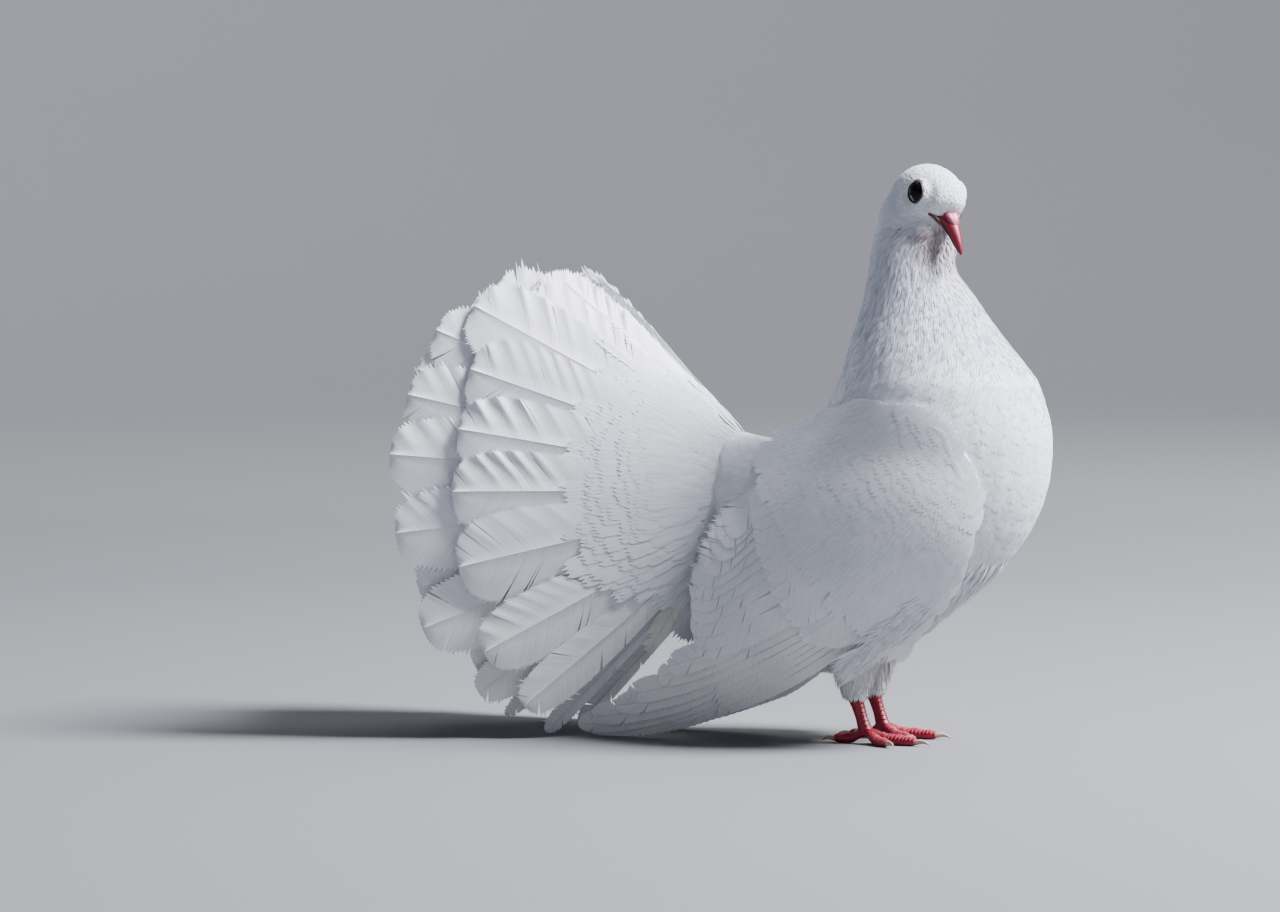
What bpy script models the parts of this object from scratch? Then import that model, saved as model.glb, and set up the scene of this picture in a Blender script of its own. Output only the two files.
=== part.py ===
"""Fantail pigeon, a still life-size model of the living bird, standing.

The bird faces +X with its right side at -Y, and stands on z = 0.
Sizes are in millimetres and become metres where a mesh is made.
"""
import math
import random

import bmesh
import bpy
from mathutils import Matrix, Vector

MM = 0.001
GAP = 0.3
SIDES = {"right": -1.0, "left": 1.0}
LATERAL = Vector((0.0, 1.0, 0.0))

# Torso sections from the neck down to the vent: centre x, centre z,
# half depth, half width, and how far the section slopes down to the front.
TORSO_SECTIONS = (
    (31.7, 160.9, 44.3, 42.0, 0.0),
    (30.7, 145.3, 50.9, 45.0, 1.4),
    (26.7, 132.4, 56.2, 46.0, 4.8),
    (20.6, 118.2, 59.5, 46.5, 10.0),
    (11.8, 103.1, 59.1, 45.5, 14.7),
    (0.5, 88.7, 55.0, 43.0, 18.5),
    (-10.6, 75.3, 48.3, 39.0, 22.3),
    (-21.3, 61.3, 41.5, 33.0, 27.3),
    (-30.0, 48.7, 32.8, 25.0, 29.8),
    (-37.1, 40.9, 19.4, 15.0, 29.5),
    (-41.5, 36.0, 6.0, 5.0, 29.5),
)
TORSO_RINGS = 20
TORSO_SIDES = 28

# Neck sections from the throat down, in the same five values.
NECK_SECTIONS = (
    (20.8, 224.4, 20.4, 15.0, 30.0),
    (20.6, 216.0, 20.2, 17.0, 22.0),
    (22.0, 207.6, 22.4, 19.4, 12.0),
    (24.0, 198.0, 25.6, 23.2, 6.0),
    (25.8, 187.6, 30.2, 28.2, 3.0),
    (28.6, 174.2, 37.2, 35.6, 1.0),
    (31.7, 160.9 + GAP, 44.3, 42.0, 0.0),
)
NECK_RINGS = 12

# Tail base sections: x, centre z, half width, half height.
TAIL_BASE_SECTIONS = (
    (-14.0, 112.0, 24.0, 22.0),
    (-34.0, 111.0, 23.0, 22.5),
    (-50.0, 110.3, 20.5, 24.8),
    (-66.0, 110.5, 19.0, 28.5),
)
TAIL_BASE_RINGS = 7
TAIL_BASE_SIDES = 20

# The head is an egg turned to the bird's right and tipped down.
HEAD_CENTRE = Vector((26.4, 0.0, 239.4))
HEAD_HALF = Vector((20.0, 15.4, 17.7))
HEAD_YAW = math.radians(-33.5)
HEAD_PITCH = math.radians(4.0)
HEAD_CHIN_CUT = 0.66
HEAD_NARROWING = 0.16
# Sections that carry the neck's outline up into the head.
NAPE_SECTIONS = (
    (20.8, 224.4, 20.4, 15.0, 30.0),
    (22.2, 230.5, 18.9, 14.4, 30.0),
    (24.2, 237.5, 16.5, 13.0, 28.0),
    (26.5, 243.5, 12.5, 10.0, 26.0),
)
# Eyes sit on an axis that looks a little forward and up from sideways.
EYE_SURFACE = Vector((7.2, 13.2, 4.8))
EYE_AHEAD = math.radians(8.0)
EYE_LIFT = math.radians(8.0)
EYE_RADIUS = 6.7
EYE_PROUD = 1.5
LID_RADIUS = 5.2
LID_THICKNESS = 0.75

# Bill stations in the head's own plane: forward, up, half width, half depth.
BILL_UPPER = (
    (8.6, -4.2, 9.4, 1.0),
    (12.5, -5.6, 5.6, 2.3),
    (16.0, -8.6, 4.0, 2.6),
    (18.6, -12.8, 2.9, 2.3),
    (20.9, -17.6, 2.0, 1.8),
    (22.6, -21.2, 1.1, 1.0),
    (23.0, -22.8, 0.4, 0.35),
)
BILL_LOWER = (
    (7.4, -6.2, 9.0, 0.9),
    (10.2, -9.2, 5.2, 1.5),
    (13.2, -12.2, 3.4, 1.3),
    (16.6, -16.0, 2.4, 1.1),
    (19.4, -19.4, 1.3, 0.8),
    (20.6, -21.0, 0.5, 0.35),
)
BILL_SIDES = 12
CERE = (
    (11.0, -0.6, 2.4, 1.6),
    (14.6, -2.8, 3.9, 2.1),
    (17.6, -6.0, 3.5, 1.9),
    (19.6, -9.4, 1.4, 0.8),
)

# Legs: each is feathered down to the top of the scaled shank.
LEG_Y = 13.0
THIGH_SECTIONS = (
    (-5.0, 21.0, 66.0, 21.0, 14.0),
    (-4.0, 18.5, 50.0, 16.0, 12.0),
    (-3.0, 15.5, 37.0, 11.0, 9.5),
    (-2.6, 13.8, 28.0, 7.8, 7.0),
    (-2.4, 13.0, 20.0, 5.2, 4.9),
)
THIGH_RINGS = 8
THIGH_SIDES = 14
SHANK_TOP = Vector((-2.4, LEG_Y, 20.0 - GAP))
ANKLE = Vector((2.4, LEG_Y, 5.2))
# Toes: name, heading outward from straight ahead in degrees, length,
# radius and claw length.
TOES = (
    ("middle", 6.0, 24.0, 2.5, 6.5),
    ("inner", -33.0, 17.5, 2.3, 5.5),
    ("outer", 42.0, 18.5, 2.2, 5.5),
    ("hind", 187.0, 15.0, 2.3, 6.5),
)
CLAW_SIDES = 6

# The folded wing is laid out on a curved sheet. P runs from the wrist to
# the tip and q across it, towards the back. Rows: p, lowest q, highest q,
# and how far out the sheet stands at its low edge, middle and high edge.
WING_ORIGIN = Vector((61.4, 0.0, 116.4))
WING_SLOPE = math.radians(40.0)
WING_BEND_START = 60.0
WING_LENGTH = 229.0
WING_END_SLOPE = {"right": math.radians(20.3), "left": math.radians(20.2)}
WING_CLEARANCE = 2.4
WING_ROWS = (
    (-9.0, 20.0, 36.0, 38.0, 38.0, 38.0),
    (-2.0, 0.0, 45.0, 35.0, 42.5, 36.0),
    (20.0, -17.0, 62.0, 35.5, 50.5, 30.0),
    (45.0, -25.0, 72.0, 34.0, 54.0, 24.0),
    (75.0, -26.5, 73.5, 35.0, 54.0, 21.5),
    (100.0, -26.0, 63.0, 37.0, 52.0, 30.0),
    (118.0, -23.0, 53.0, 37.0, 48.5, 37.0),
    (135.0, -19.0, 44.0, 36.0, 45.0, 39.0),
    (156.0, -14.0, 27.0, 35.0, 40.0, 37.0),
    (177.0, -8.0, 20.0, 32.0, 34.0, 33.0),
    (200.0, -4.0, 20.0, 28.5, 29.5, 29.0),
    (235.0, 2.0, 22.0, 25.0, 25.0, 25.0),
)
# The shield of flesh and small coverts that the wing's vanes grow from.
SHIELD_STATIONS = (-9.0, -2.0, 9.0, 22.0, 38.0, 55.0, 72.0, 89.0, 105.0)
SHIELD_COLUMNS = 7
SHIELD_NARROWING = 9.0
SHIELD_EDGE = 0.6
SHIELD_FLAT = 35.0
SHIELD_TOP = -0.4
SHIELD_TOP_END = -5.5
SHIELD_BOTTOM = -9.0
SHIELD_BOTTOM_END = -8.0
# Wing tiers from the innermost out. Each has its count of vanes, their
# height above the sheet at root, middle and tip, the step down from each
# vane to the next below it, the lean that shingles them, and rows from the
# lowest vane to the highest: root p, root q, tip p, tip q, half width, sag.
WING_TIERS = (
    (6, (-5.0, -6.4, -3.0), -0.75, 7.0, (
        (62.0, -20.0, 217.0, 6.5, 5.5, 10.0),
        (63.0, -14.0, 228.0, 11.0, 6.0, 7.0),
        (64.0, -8.0, 206.0, 14.5, 6.5, 4.0),
        (66.0, -2.0, 171.0, 18.5, 7.0, 0.0))),
    (7, (-4.6, -3.4, -2.2), -0.1, 7.0, (
        (66.0, 4.0, 157.0, 25.0, 8.5, 0.0),
        (64.0, 24.0, 149.0, 36.5, 9.0, -1.0),
        (60.0, 44.0, 132.0, 47.5, 9.0, -3.0),
        (58.0, 60.0, 111.0, 57.0, 8.5, -4.0))),
    (3, (-4.2, -3.6, -2.8), 0.0, 5.0, (
        (30.0, -20.0, 92.0, -21.5, 5.5, 1.0),
        (34.0, -15.0, 97.0, -14.0, 6.0, 1.0),
        (38.0, -9.0, 101.0, -5.0, 6.5, 1.0))),
    (5, (-3.0, -1.7, -0.4), 0.0, 5.0, (
        (46.0, 5.0, 101.0, 7.0, 8.5, 0.0),
        (46.0, 32.0, 99.0, 34.0, 8.5, 0.0),
        (46.0, 58.0, 91.0, 60.0, 8.5, 0.0))),
    (5, (-1.6, -0.5, 0.5), 0.0, 5.0, (
        (17.0, -9.0, 66.0, -12.0, 9.5, 0.0),
        (12.0, 24.0, 64.0, 26.0, 9.5, 0.0),
        (20.0, 54.0, 61.0, 63.0, 9.5, 0.0))),
)
# How much of the step down between vanes is taken at their roots.
ROOT_STEP = 0.35
# Along a vane: share of its length, of its half width and of its thickness.
VANE_STATIONS = (
    (0.0, 0.4, 1.4),
    (0.32, 0.74, 1.15),
    (0.62, 0.97, 1.0),
    (0.86, 0.93, 0.85),
    (1.0, 0.5, 0.7),
)
VANE_THICKNESS = 0.7
VANE_TIP_ROUND = 0.4
TAIL_TIP_WIDTH = 0.62
TAIL_TIP_ROUND = 0.22

# The tail is a steep arched fan. Its arch angle is 0 at the top centre.
FAN_ROOT = Vector((-59.1, 0.0, 109.8))
FAN_ROOT_WIDE = 13.0
FAN_ROOT_ABOVE = 26.0
FAN_ROOT_BELOW = 19.0
FAN_SPREAD = 0.42
FAN_RISE_ABOVE = 0.71
FAN_RISE_BELOW = 0.85
FAN_DROP = 0.046
FAN_LENGTH = 150.0
FAN_CROWN_SHORT = 64.0
FAN_CROWN_ARCH = 60.0
FAN_FOOT_SHORT = 18.0
FAN_FOOT_ARCH = 100.0
FAN_LOWEST = 135.0
FAN_HIGHEST = 10.0
FAN_HALF_WIDTH = 21.0
FAN_LEAN = 6.0
FAN_CAMBER = 1.2
FAN_VANE_ROOT = 12.0
# Rows of tail vanes: count, heights at root, middle and tip, share of the
# full length, and half width as a share of the widest.
FAN_ROWS = (
    (8, (0.2, 0.8, 1.2), 1.0, 1.0),
    (7, (-1.6, -4.2, -6.6), 0.985, 0.98),
    (5, (0.0, 2.6, 3.4), 0.44, 0.8),
)
FAN_ROW_INSET = (0.0, 0.5, 0.35)
FEATHER_SEED = 11
FAN_FACE_X = -66.0 - GAP


def clear_scene():
    for item in list(bpy.data.objects):
        bpy.data.objects.remove(item, do_unlink=True)


def new_collection(name):
    collection = bpy.data.collections.new(name)
    bpy.context.scene.collection.children.link(collection)
    return collection


def principled(name, colour, roughness):
    material = bpy.data.materials.new(name)
    material.use_nodes = True
    shader = material.node_tree.nodes["Principled BSDF"]
    shader.inputs["Base Color"].default_value = (*colour, 1.0)
    shader.inputs["Roughness"].default_value = roughness
    shader.inputs["Metallic"].default_value = 0.0
    return material


clear_scene()
PARTS = new_collection("fantail_pigeon")
CUTTERS = new_collection("cutters")
PLUMAGE = principled("white_plumage", (0.83, 0.84, 0.87), 0.7)
FLIGHT = principled("white_flight_feather", (0.86, 0.87, 0.90), 0.6)
EYE = principled("dark_eye", (0.02, 0.012, 0.01), 0.08)
BILL = principled("pink_bill", (0.62, 0.16, 0.20), 0.4)
CERE_SKIN = principled("pale_cere", (0.78, 0.52, 0.53), 0.6)
LEG_SKIN = principled("red_scaled_skin", (0.48, 0.05, 0.08), 0.5)
CLAW = principled("pale_claw_horn", (0.60, 0.47, 0.38), 0.35)


def mesh_object(name, bm, material, collection=None):
    """Close, orient and link a mesh, and give its object a material."""
    bmesh.ops.recalc_face_normals(bm, faces=bm.faces)
    mesh = bpy.data.meshes.new(name)
    bm.to_mesh(mesh)
    bm.free()
    mesh.materials.append(material)
    mesh.shade_smooth()
    item = bpy.data.objects.new(name, mesh)
    (collection or PARTS).objects.link(item)
    return item


def smooth_rows(rows, count):
    """Rows evenly spaced on a Catmull-Rom curve through the given rows."""
    last = len(rows) - 1
    result = []
    for step in range(count):
        place = last * step / (count - 1)
        index = min(int(place), last - 1)
        f = place - index
        a = rows[max(index - 1, 0)]
        b = rows[index]
        c = rows[index + 1]
        d = rows[min(index + 2, last)]
        result.append(tuple(
            0.5 * (2 * q + (r - p) * f + (2 * p - 5 * q + 4 * r - s) * f * f
                   + (3 * q - p - 3 * r + s) * f ** 3)
            for p, q, r, s in zip(a, b, c, d)))
    return result


def row_at(rows, key):
    """The row whose first value is key, between the smooth rows."""
    last = len(rows) - 1
    index = 0
    while index < last - 1 and rows[index + 1][0] < key:
        index += 1
    low, high = rows[index], rows[index + 1]
    f = (key - low[0]) / (high[0] - low[0])
    before = rows[max(index - 1, 0)]
    after = rows[min(index + 2, last)]
    span = high[0] - low[0]
    values = []
    for a, b, c, d in zip(before, low, high, after):
        slope_low = (c - a) / max(high[0] - before[0], 1e-6)
        slope_high = (d - b) / max(after[0] - low[0], 1e-6)
        values.append((2 * f ** 3 - 3 * f * f + 1) * b
                      + (f ** 3 - 2 * f * f + f) * span * slope_low
                      + (3 * f * f - 2 * f ** 3) * c
                      + (f ** 3 - f * f) * span * slope_high)
    return values


def ellipse(centre, along, across, half_along, half_across, sides):
    points = []
    for index in range(sides):
        angle = 2 * math.pi * index / sides
        points.append(centre + along * (half_along * math.cos(angle))
                      + across * (half_across * math.sin(angle)))
    return points


def loft(name, rings, material, collection=None):
    """A closed solid through rings of equal count, with its ends capped."""
    bm = bmesh.new()
    loops = [[bm.verts.new(point * MM) for point in ring] for ring in rings]
    count = len(loops[0])
    for lower, upper in zip(loops, loops[1:]):
        for i in range(count):
            j = (i + 1) % count
            bm.faces.new((lower[i], lower[j], upper[j]))
            bm.faces.new((lower[i], upper[j], upper[i]))
    for loop in (loops[0], loops[-1]):
        middle = sum((v.co for v in loop), Vector()) / count
        hub = bm.verts.new(middle)
        for i in range(count):
            bm.faces.new((loop[i], loop[(i + 1) % count], hub))
    return mesh_object(name, bm, material, collection)


def apply_boolean(item, operation, tools, solver="EXACT"):
    """Apply one Boolean with a collection of closed tools, then drop them."""
    holder = bpy.data.collections.new(item.name + "_tools")
    for tool in tools:
        holder.objects.link(tool)
        tool.display_type = "WIRE"
        tool.hide_render = True
    modifier = item.modifiers.new("join", "BOOLEAN")
    modifier.operation = operation
    modifier.operand_type = "COLLECTION"
    modifier.collection = holder
    modifier.solver = solver
    bpy.context.view_layer.objects.active = item
    with bpy.context.temp_override(object=item, active_object=item,
                                   selected_objects=[item]):
        bpy.ops.object.modifier_apply(modifier=modifier.name)
    for tool in tools:
        bpy.data.objects.remove(tool, do_unlink=True)
    bpy.data.collections.remove(holder)
    keep_largest(item)
    return item


def keep_largest(item):
    """Keep only the largest closed surface of a mesh."""
    bm = bmesh.new()
    bm.from_mesh(item.data)
    bm.verts.ensure_lookup_table()
    waiting = set(bm.verts)
    shells = []
    while waiting:
        stack = [waiting.pop()]
        shell = set(stack)
        while stack:
            for edge in stack.pop().link_edges:
                for vert in edge.verts:
                    if vert not in shell:
                        shell.add(vert)
                        stack.append(vert)
        waiting -= shell
        shells.append(shell)
    shells.sort(key=reach, reverse=True)
    for shell in shells[1:]:
        bmesh.ops.delete(bm, geom=list(shell), context="VERTS")
    bmesh.ops.triangulate(bm, faces=bm.faces)
    bm.to_mesh(item.data)
    bm.free()


def reach(shell):
    """Diagonal of the box round a set of points."""
    spans = []
    for axis in range(3):
        values = [vert.co[axis] for vert in shell]
        spans.append(max(values) - min(values))
    return math.hypot(*spans)


def section_rings(sections, count, sides, grow=0.0):
    rings = []
    for x, z, half_along, half_across, slope in smooth_rows(sections, count):
        angle = math.radians(slope)
        along = Vector((math.cos(angle), 0.0, -math.sin(angle)))
        rings.append(ellipse(Vector((x, 0.0, z)), along, LATERAL,
                             half_along + grow, half_across + grow, sides))
    return rings


def grown_torso():
    """The torso's shape, larger by the gap all round, as a cutter."""
    rings = section_rings(TORSO_SECTIONS, TORSO_RINGS, TORSO_SIDES, GAP)
    up = Vector((0.0, 0.0, GAP))
    rings[0] = [point + up for point in rings[0]]
    rings[-1] = [point - up for point in rings[-1]]
    return loft("grown_torso", rings, PLUMAGE, CUTTERS)


def build_torso():
    rings = section_rings(TORSO_SECTIONS, TORSO_RINGS, TORSO_SIDES)
    return loft("torso", rings, PLUMAGE)


def build_neck():
    rings = section_rings(NECK_SECTIONS, NECK_RINGS, TORSO_SIDES)
    return loft("neck", rings, PLUMAGE)


def tail_base_solid(name, collection, grow=0.0):
    rings = []
    for x, z, wide, high in smooth_rows(TAIL_BASE_SECTIONS, TAIL_BASE_RINGS):
        rings.append(ellipse(Vector((x, 0.0, z)), Vector((0.0, 0.0, 1.0)),
                             LATERAL, high + grow, wide + grow,
                             TAIL_BASE_SIDES))
    return loft(name, rings, PLUMAGE, collection)


def build_tail_base():
    base = tail_base_solid("tail_base", PARTS)
    return apply_boolean(base, "DIFFERENCE", [grown_torso()])


def head_point(forward, out, up):
    """A point given in the head's own axes, before its egg is tipped."""
    turn = Matrix.Rotation(HEAD_YAW, 3, "Z")
    return HEAD_CENTRE + turn @ Vector((forward, out, up))


def head_solid(name, collection, grow=0.0):
    bm = bmesh.new()
    bmesh.ops.create_uvsphere(bm, u_segments=24, v_segments=15, radius=1.0)
    tip = Matrix.Rotation(HEAD_PITCH, 3, "Y")
    turn = Matrix.Rotation(HEAD_YAW, 3, "Z")
    for vert in bm.verts:
        x, y, z = vert.co
        front = max(x, 0.0)
        y *= 1.0 - HEAD_NARROWING * front * front
        if x > 0.0:
            x *= 1.0 - HEAD_CHIN_CUT * max(-z, 0.0)
        point = Vector((x * (HEAD_HALF.x + grow),
                        y * (HEAD_HALF.y + grow),
                        z * (HEAD_HALF.z + grow)))
        vert.co = (HEAD_CENTRE + turn @ (tip @ point)) * MM
    x, z, _, _, slope = NECK_SECTIONS[0]
    angle = math.radians(slope)
    normal = Vector((math.sin(angle), 0.0, math.cos(angle)))
    place = Vector((x, 0.0, z)) + normal * (GAP - grow)
    geometry = bm.verts[:] + bm.edges[:] + bm.faces[:]
    cut = bmesh.ops.bisect_plane(bm, geom=geometry, plane_co=place * MM,
                                 plane_no=normal, clear_inner=True)
    edges = [item for item in cut["geom_cut"]
             if isinstance(item, bmesh.types.BMEdge)]
    bmesh.ops.contextual_create(bm, geom=edges)
    bmesh.ops.triangulate(bm, faces=bm.faces)
    return mesh_object(name, bm, PLUMAGE, collection)


def ball(name, centre, radius, collection, material):
    bm = bmesh.new()
    bmesh.ops.create_uvsphere(bm, u_segments=16, v_segments=10,
                              radius=radius * MM)
    bmesh.ops.translate(bm, verts=bm.verts, vec=centre * MM)
    return mesh_object(name, bm, material, collection)


def eye_axes(side):
    """The way an eye looks, and two directions square to it."""
    out = SIDES[side]
    look = Vector((math.sin(EYE_AHEAD) * math.cos(EYE_LIFT),
                   math.cos(EYE_AHEAD) * math.cos(EYE_LIFT) * out,
                   math.sin(EYE_LIFT)))
    look = Matrix.Rotation(HEAD_YAW, 3, "Z") @ look
    level = look.cross(Vector((0.0, 0.0, 1.0))).normalized()
    return look, level, level.cross(look)


def eye_surface(side):
    forward, out, up = EYE_SURFACE
    return head_point(forward, out * SIDES[side], up)


def eye_centre(side):
    look = eye_axes(side)[0]
    return eye_surface(side) + look * (EYE_PROUD - EYE_RADIUS)


def lid_ring(side):
    """The rim of the lids, a ring that stands on the head round the eye."""
    look, level, upright = eye_axes(side)
    centre = eye_surface(side)
    count = 16
    sides = 6
    bm = bmesh.new()
    loops = []
    for step in range(count):
        angle = 2 * math.pi * step / count
        spoke = level * math.cos(angle) + upright * math.sin(angle)
        middle = centre + spoke * LID_RADIUS
        points = ellipse(middle, spoke, look, LID_THICKNESS, LID_THICKNESS,
                         sides)
        loops.append([bm.verts.new(point * MM) for point in points])
    for i in range(count):
        lower, upper = loops[i], loops[(i + 1) % count]
        for j in range(sides):
            k = (j + 1) % sides
            bm.faces.new((lower[j], lower[k], upper[k], upper[j]))
    return mesh_object("lid_ring_" + side, bm, PLUMAGE, CUTTERS)


def nape_solid(grow=0.0):
    """The part of the head that carries on the neck's outline."""
    angle = math.radians(NAPE_SECTIONS[0][4])
    lift = Vector((math.sin(angle), 0.0, math.cos(angle))) * (GAP - grow)
    rings = section_rings(NAPE_SECTIONS, 4, TORSO_SIDES, grow)
    return loft("nape", [[point + lift for point in ring] for ring in rings],
                PLUMAGE, CUTTERS)


def grown_head():
    """The head's two solids, larger by the gap, as cutters."""
    return [head_solid("grown_head", CUTTERS, GAP), nape_solid(GAP)]


def build_head():
    head = head_solid("head", PARTS)
    lids = [lid_ring(side) for side in SIDES]
    apply_boolean(head, "UNION", [nape_solid()] + lids)
    sockets = [ball("socket_" + side, eye_centre(side), EYE_RADIUS + GAP,
                    CUTTERS, PLUMAGE) for side in SIDES]
    return apply_boolean(head, "DIFFERENCE", sockets)


def build_eyes():
    for side in SIDES:
        ball("eye_" + side, eye_centre(side), EYE_RADIUS, PARTS, EYE)


def bill_rings(stations, grow=0.0, count=9):
    """Rings square to a path in the head's own plane."""
    turn = Matrix.Rotation(HEAD_YAW, 3, "Z")
    rows = smooth_rows(stations, count)
    rings = []
    for index, (forward, up, wide, deep) in enumerate(rows):
        ahead = rows[min(index + 1, count - 1)]
        behind = rows[max(index - 1, 0)]
        path = Vector((ahead[0] - behind[0], 0.0, ahead[1] - behind[1]))
        path.normalize()
        square = turn @ Vector((-path.z, 0.0, path.x))
        rings.append(ellipse(head_point(forward, 0.0, up), square,
                             turn @ LATERAL, deep + grow, wide + grow,
                             BILL_SIDES))
    return rings


def build_bill():
    upper = loft("bill_upper", bill_rings(BILL_UPPER), BILL)
    apply_boolean(upper, "DIFFERENCE", grown_head())
    lower = loft("bill_lower", bill_rings(BILL_LOWER), BILL)
    grown_upper = loft("grown_upper", bill_rings(BILL_UPPER, GAP), BILL,
                       CUTTERS)
    apply_boolean(lower, "DIFFERENCE", grown_head() + [grown_upper])
    cere = loft("cere", bill_rings(CERE, count=7), CERE_SKIN)
    grown_upper = loft("grown_upper", bill_rings(BILL_UPPER, GAP), BILL,
                       CUTTERS)
    apply_boolean(cere, "DIFFERENCE", grown_head() + [grown_upper])


def build_thigh(side):
    rings = []
    for x, y, z, deep, wide in smooth_rows(THIGH_SECTIONS, THIGH_RINGS):
        rings.append(ellipse(Vector((x, y * SIDES[side], z)),
                             Vector((1.0, 0.0, 0.0)), LATERAL, deep, wide,
                             THIGH_SIDES))
    thigh = loft("thigh_" + side, rings, PLUMAGE)
    return apply_boolean(thigh, "DIFFERENCE", [grown_torso()])


def toe_path(side, toe):
    """Centre points and radii of a toe from the ankle to its last pad."""
    _, heading, length, radius, _ = toe
    angle = math.radians(heading) * SIDES[side]
    way = Vector((math.cos(angle), math.sin(angle), 0.0))
    start = Vector((ANKLE.x, ANKLE.y * SIDES[side], 0.0))
    path = []
    for share, height, swell in ((0.0, 5.2, 1.05), (0.2, 4.4, 1.0),
                                 (0.42, 2.3, 0.95), (0.58, 2.1, 1.05),
                                 (0.72, 2.0, 0.86), (0.86, 1.9, 0.96),
                                 (1.0, 1.8, 0.66)):
        point = start + way * (length * share) + Vector((0.0, 0.0, height))
        path.append((point, radius * swell))
    return path, way


def tube_rings(path, way, sides):
    across = way.cross(Vector((0.0, 0.0, 1.0)))
    rings = []
    for point, radius in path:
        ring = ellipse(point, Vector((0.0, 0.0, 1.0)), across, radius,
                       radius, sides)
        for corner in ring:
            corner.z = max(corner.z, 0.0)
        rings.append(ring)
    return rings


def build_foot(side):
    top = Vector((SHANK_TOP.x, SHANK_TOP.y * SIDES[side], SHANK_TOP.z))
    ankle = Vector((ANKLE.x, ANKLE.y * SIDES[side], ANKLE.z))
    rings = []
    for share, radius in ((0.0, 3.3), (0.25, 2.7), (0.6, 2.5), (0.9, 3.0),
                          (1.12, 2.4)):
        centre = top.lerp(ankle, share)
        rings.append(ellipse(centre, Vector((1.0, 0.0, 0.0)), LATERAL,
                             radius * 1.12, radius, 10))
    foot = loft("foot_" + side, rings, LEG_SKIN)
    toes = []
    for toe in TOES:
        path, way = toe_path(side, toe)
        toes.append(loft("toe", tube_rings(path, way, 8), LEG_SKIN, CUTTERS))
    return apply_boolean(foot, "UNION", toes)


def build_claws(side):
    for toe in TOES:
        path, way = toe_path(side, toe)
        root = path[-1][0] + way * GAP
        length = toe[4]
        rings = []
        for share, rise, radius in ((0.0, 0.0, 1.25), (0.35, 0.35, 1.05),
                                    (0.7, 0.0, 0.7), (1.0, -1.1, 0.2)):
            centre = root + way * (length * share)
            centre.z += rise
            across = way.cross(Vector((0.0, 0.0, 1.0)))
            rings.append(ellipse(centre, Vector((0.0, 0.0, 1.0)), across,
                                 radius, radius * 0.8, CLAW_SIDES))
        loft("claw_%s_%s" % (toe[0], side), rings, CLAW)


BODY_SECTIONS = (smooth_rows(NECK_SECTIONS, 20)
                 + smooth_rows(TORSO_SECTIONS, 30))


def wing_point(side, p, q, height=0.0):
    """A point on the wing's curved sheet, or above it by a height."""
    point = wing_sheet(side, p, q)
    if height:
        along = wing_sheet(side, p + 1.0, q) - wing_sheet(side, p - 1.0, q)
        across = wing_sheet(side, p, q + 1.0) - wing_sheet(side, p, q - 1.0)
        normal = along.cross(across).normalized()
        if normal.y * SIDES[side] < 0.0:
            normal.negate()
        point += normal * height
    return point


def body_half_width(x, z):
    """Half width of the neck and torso at a point of the middle plane."""
    best = 0.0
    for low, high in zip(BODY_SECTIONS, BODY_SECTIONS[1:]):
        gaps = []
        for section in (low, high):
            angle = math.radians(section[4])
            gaps.append((x - section[0]) * math.sin(angle)
                        + (z - section[1]) * math.cos(angle))
        if gaps[0] * gaps[1] > 0.0:
            continue
        share = gaps[0] / ((gaps[0] - gaps[1]) or 1.0)
        middle_x, middle_z, deep, wide, slope = (
            a + (b - a) * share for a, b in zip(low, high))
        angle = math.radians(slope)
        off = ((x - middle_x) * math.cos(angle)
               - (z - middle_z) * math.sin(angle)) / deep
        best = max(best, wide * math.sqrt(max(0.0, 1.0 - off * off)))
    return best


def wing_sheet(side, p, q):
    turn = (WING_SLOPE - WING_END_SLOPE[side]) / (WING_LENGTH
                                                  - WING_BEND_START)
    straight = min(p, WING_BEND_START)
    beyond = max(p - WING_BEND_START, 0.0)
    slope = WING_SLOPE - turn * beyond
    x = (WING_ORIGIN.x - straight * math.cos(WING_SLOPE)
         - (math.sin(WING_SLOPE) - math.sin(slope)) / turn)
    z = (WING_ORIGIN.z - straight * math.sin(WING_SLOPE)
         - (math.cos(slope) - math.cos(WING_SLOPE)) / turn)
    _, low, high, out_low, out_mid, out_high = row_at(WING_ROWS, p)
    v = (q - low) / max(high - low, 1.0)
    bow = out_mid - 0.5 * (out_low + out_high)
    out = out_low + (out_high - out_low) * v + 4.0 * bow * v * (1.0 - v)
    x -= q * math.sin(slope)
    z += q * math.cos(slope)
    body = body_half_width(x, z) + WING_CLEARANCE
    out = 0.5 * (out + body + math.hypot(out - body, 2.0))
    return Vector((x, out * SIDES[side], z))


def sheet_solid(name, outer, inner, material, collection=None):
    """A closed solid between two grids of points of the same size."""
    bm = bmesh.new()
    tops = [[bm.verts.new(point * MM) for point in row] for row in outer]
    lows = [[bm.verts.new(point * MM) for point in row] for row in inner]
    rows = len(tops)
    columns = len(tops[0])
    for grid in (tops, lows):
        for i in range(rows - 1):
            for j in range(columns - 1):
                a, b = grid[i][j], grid[i + 1][j]
                c, d = grid[i + 1][j + 1], grid[i][j + 1]
                bm.faces.new((a, b, c))
                bm.faces.new((a, c, d))
    rim = ([(i, 0) for i in range(rows)]
           + [(rows - 1, j) for j in range(1, columns)]
           + [(i, columns - 1) for i in range(rows - 2, -1, -1)]
           + [(0, j) for j in range(columns - 2, 0, -1)])
    for (i, j), (k, m) in zip(rim, rim[1:] + rim[:1]):
        bm.faces.new((tops[i][j], tops[k][m], lows[k][m], lows[i][j]))
    bmesh.ops.triangulate(bm, faces=bm.faces)
    return mesh_object(name, bm, material, collection)


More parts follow.
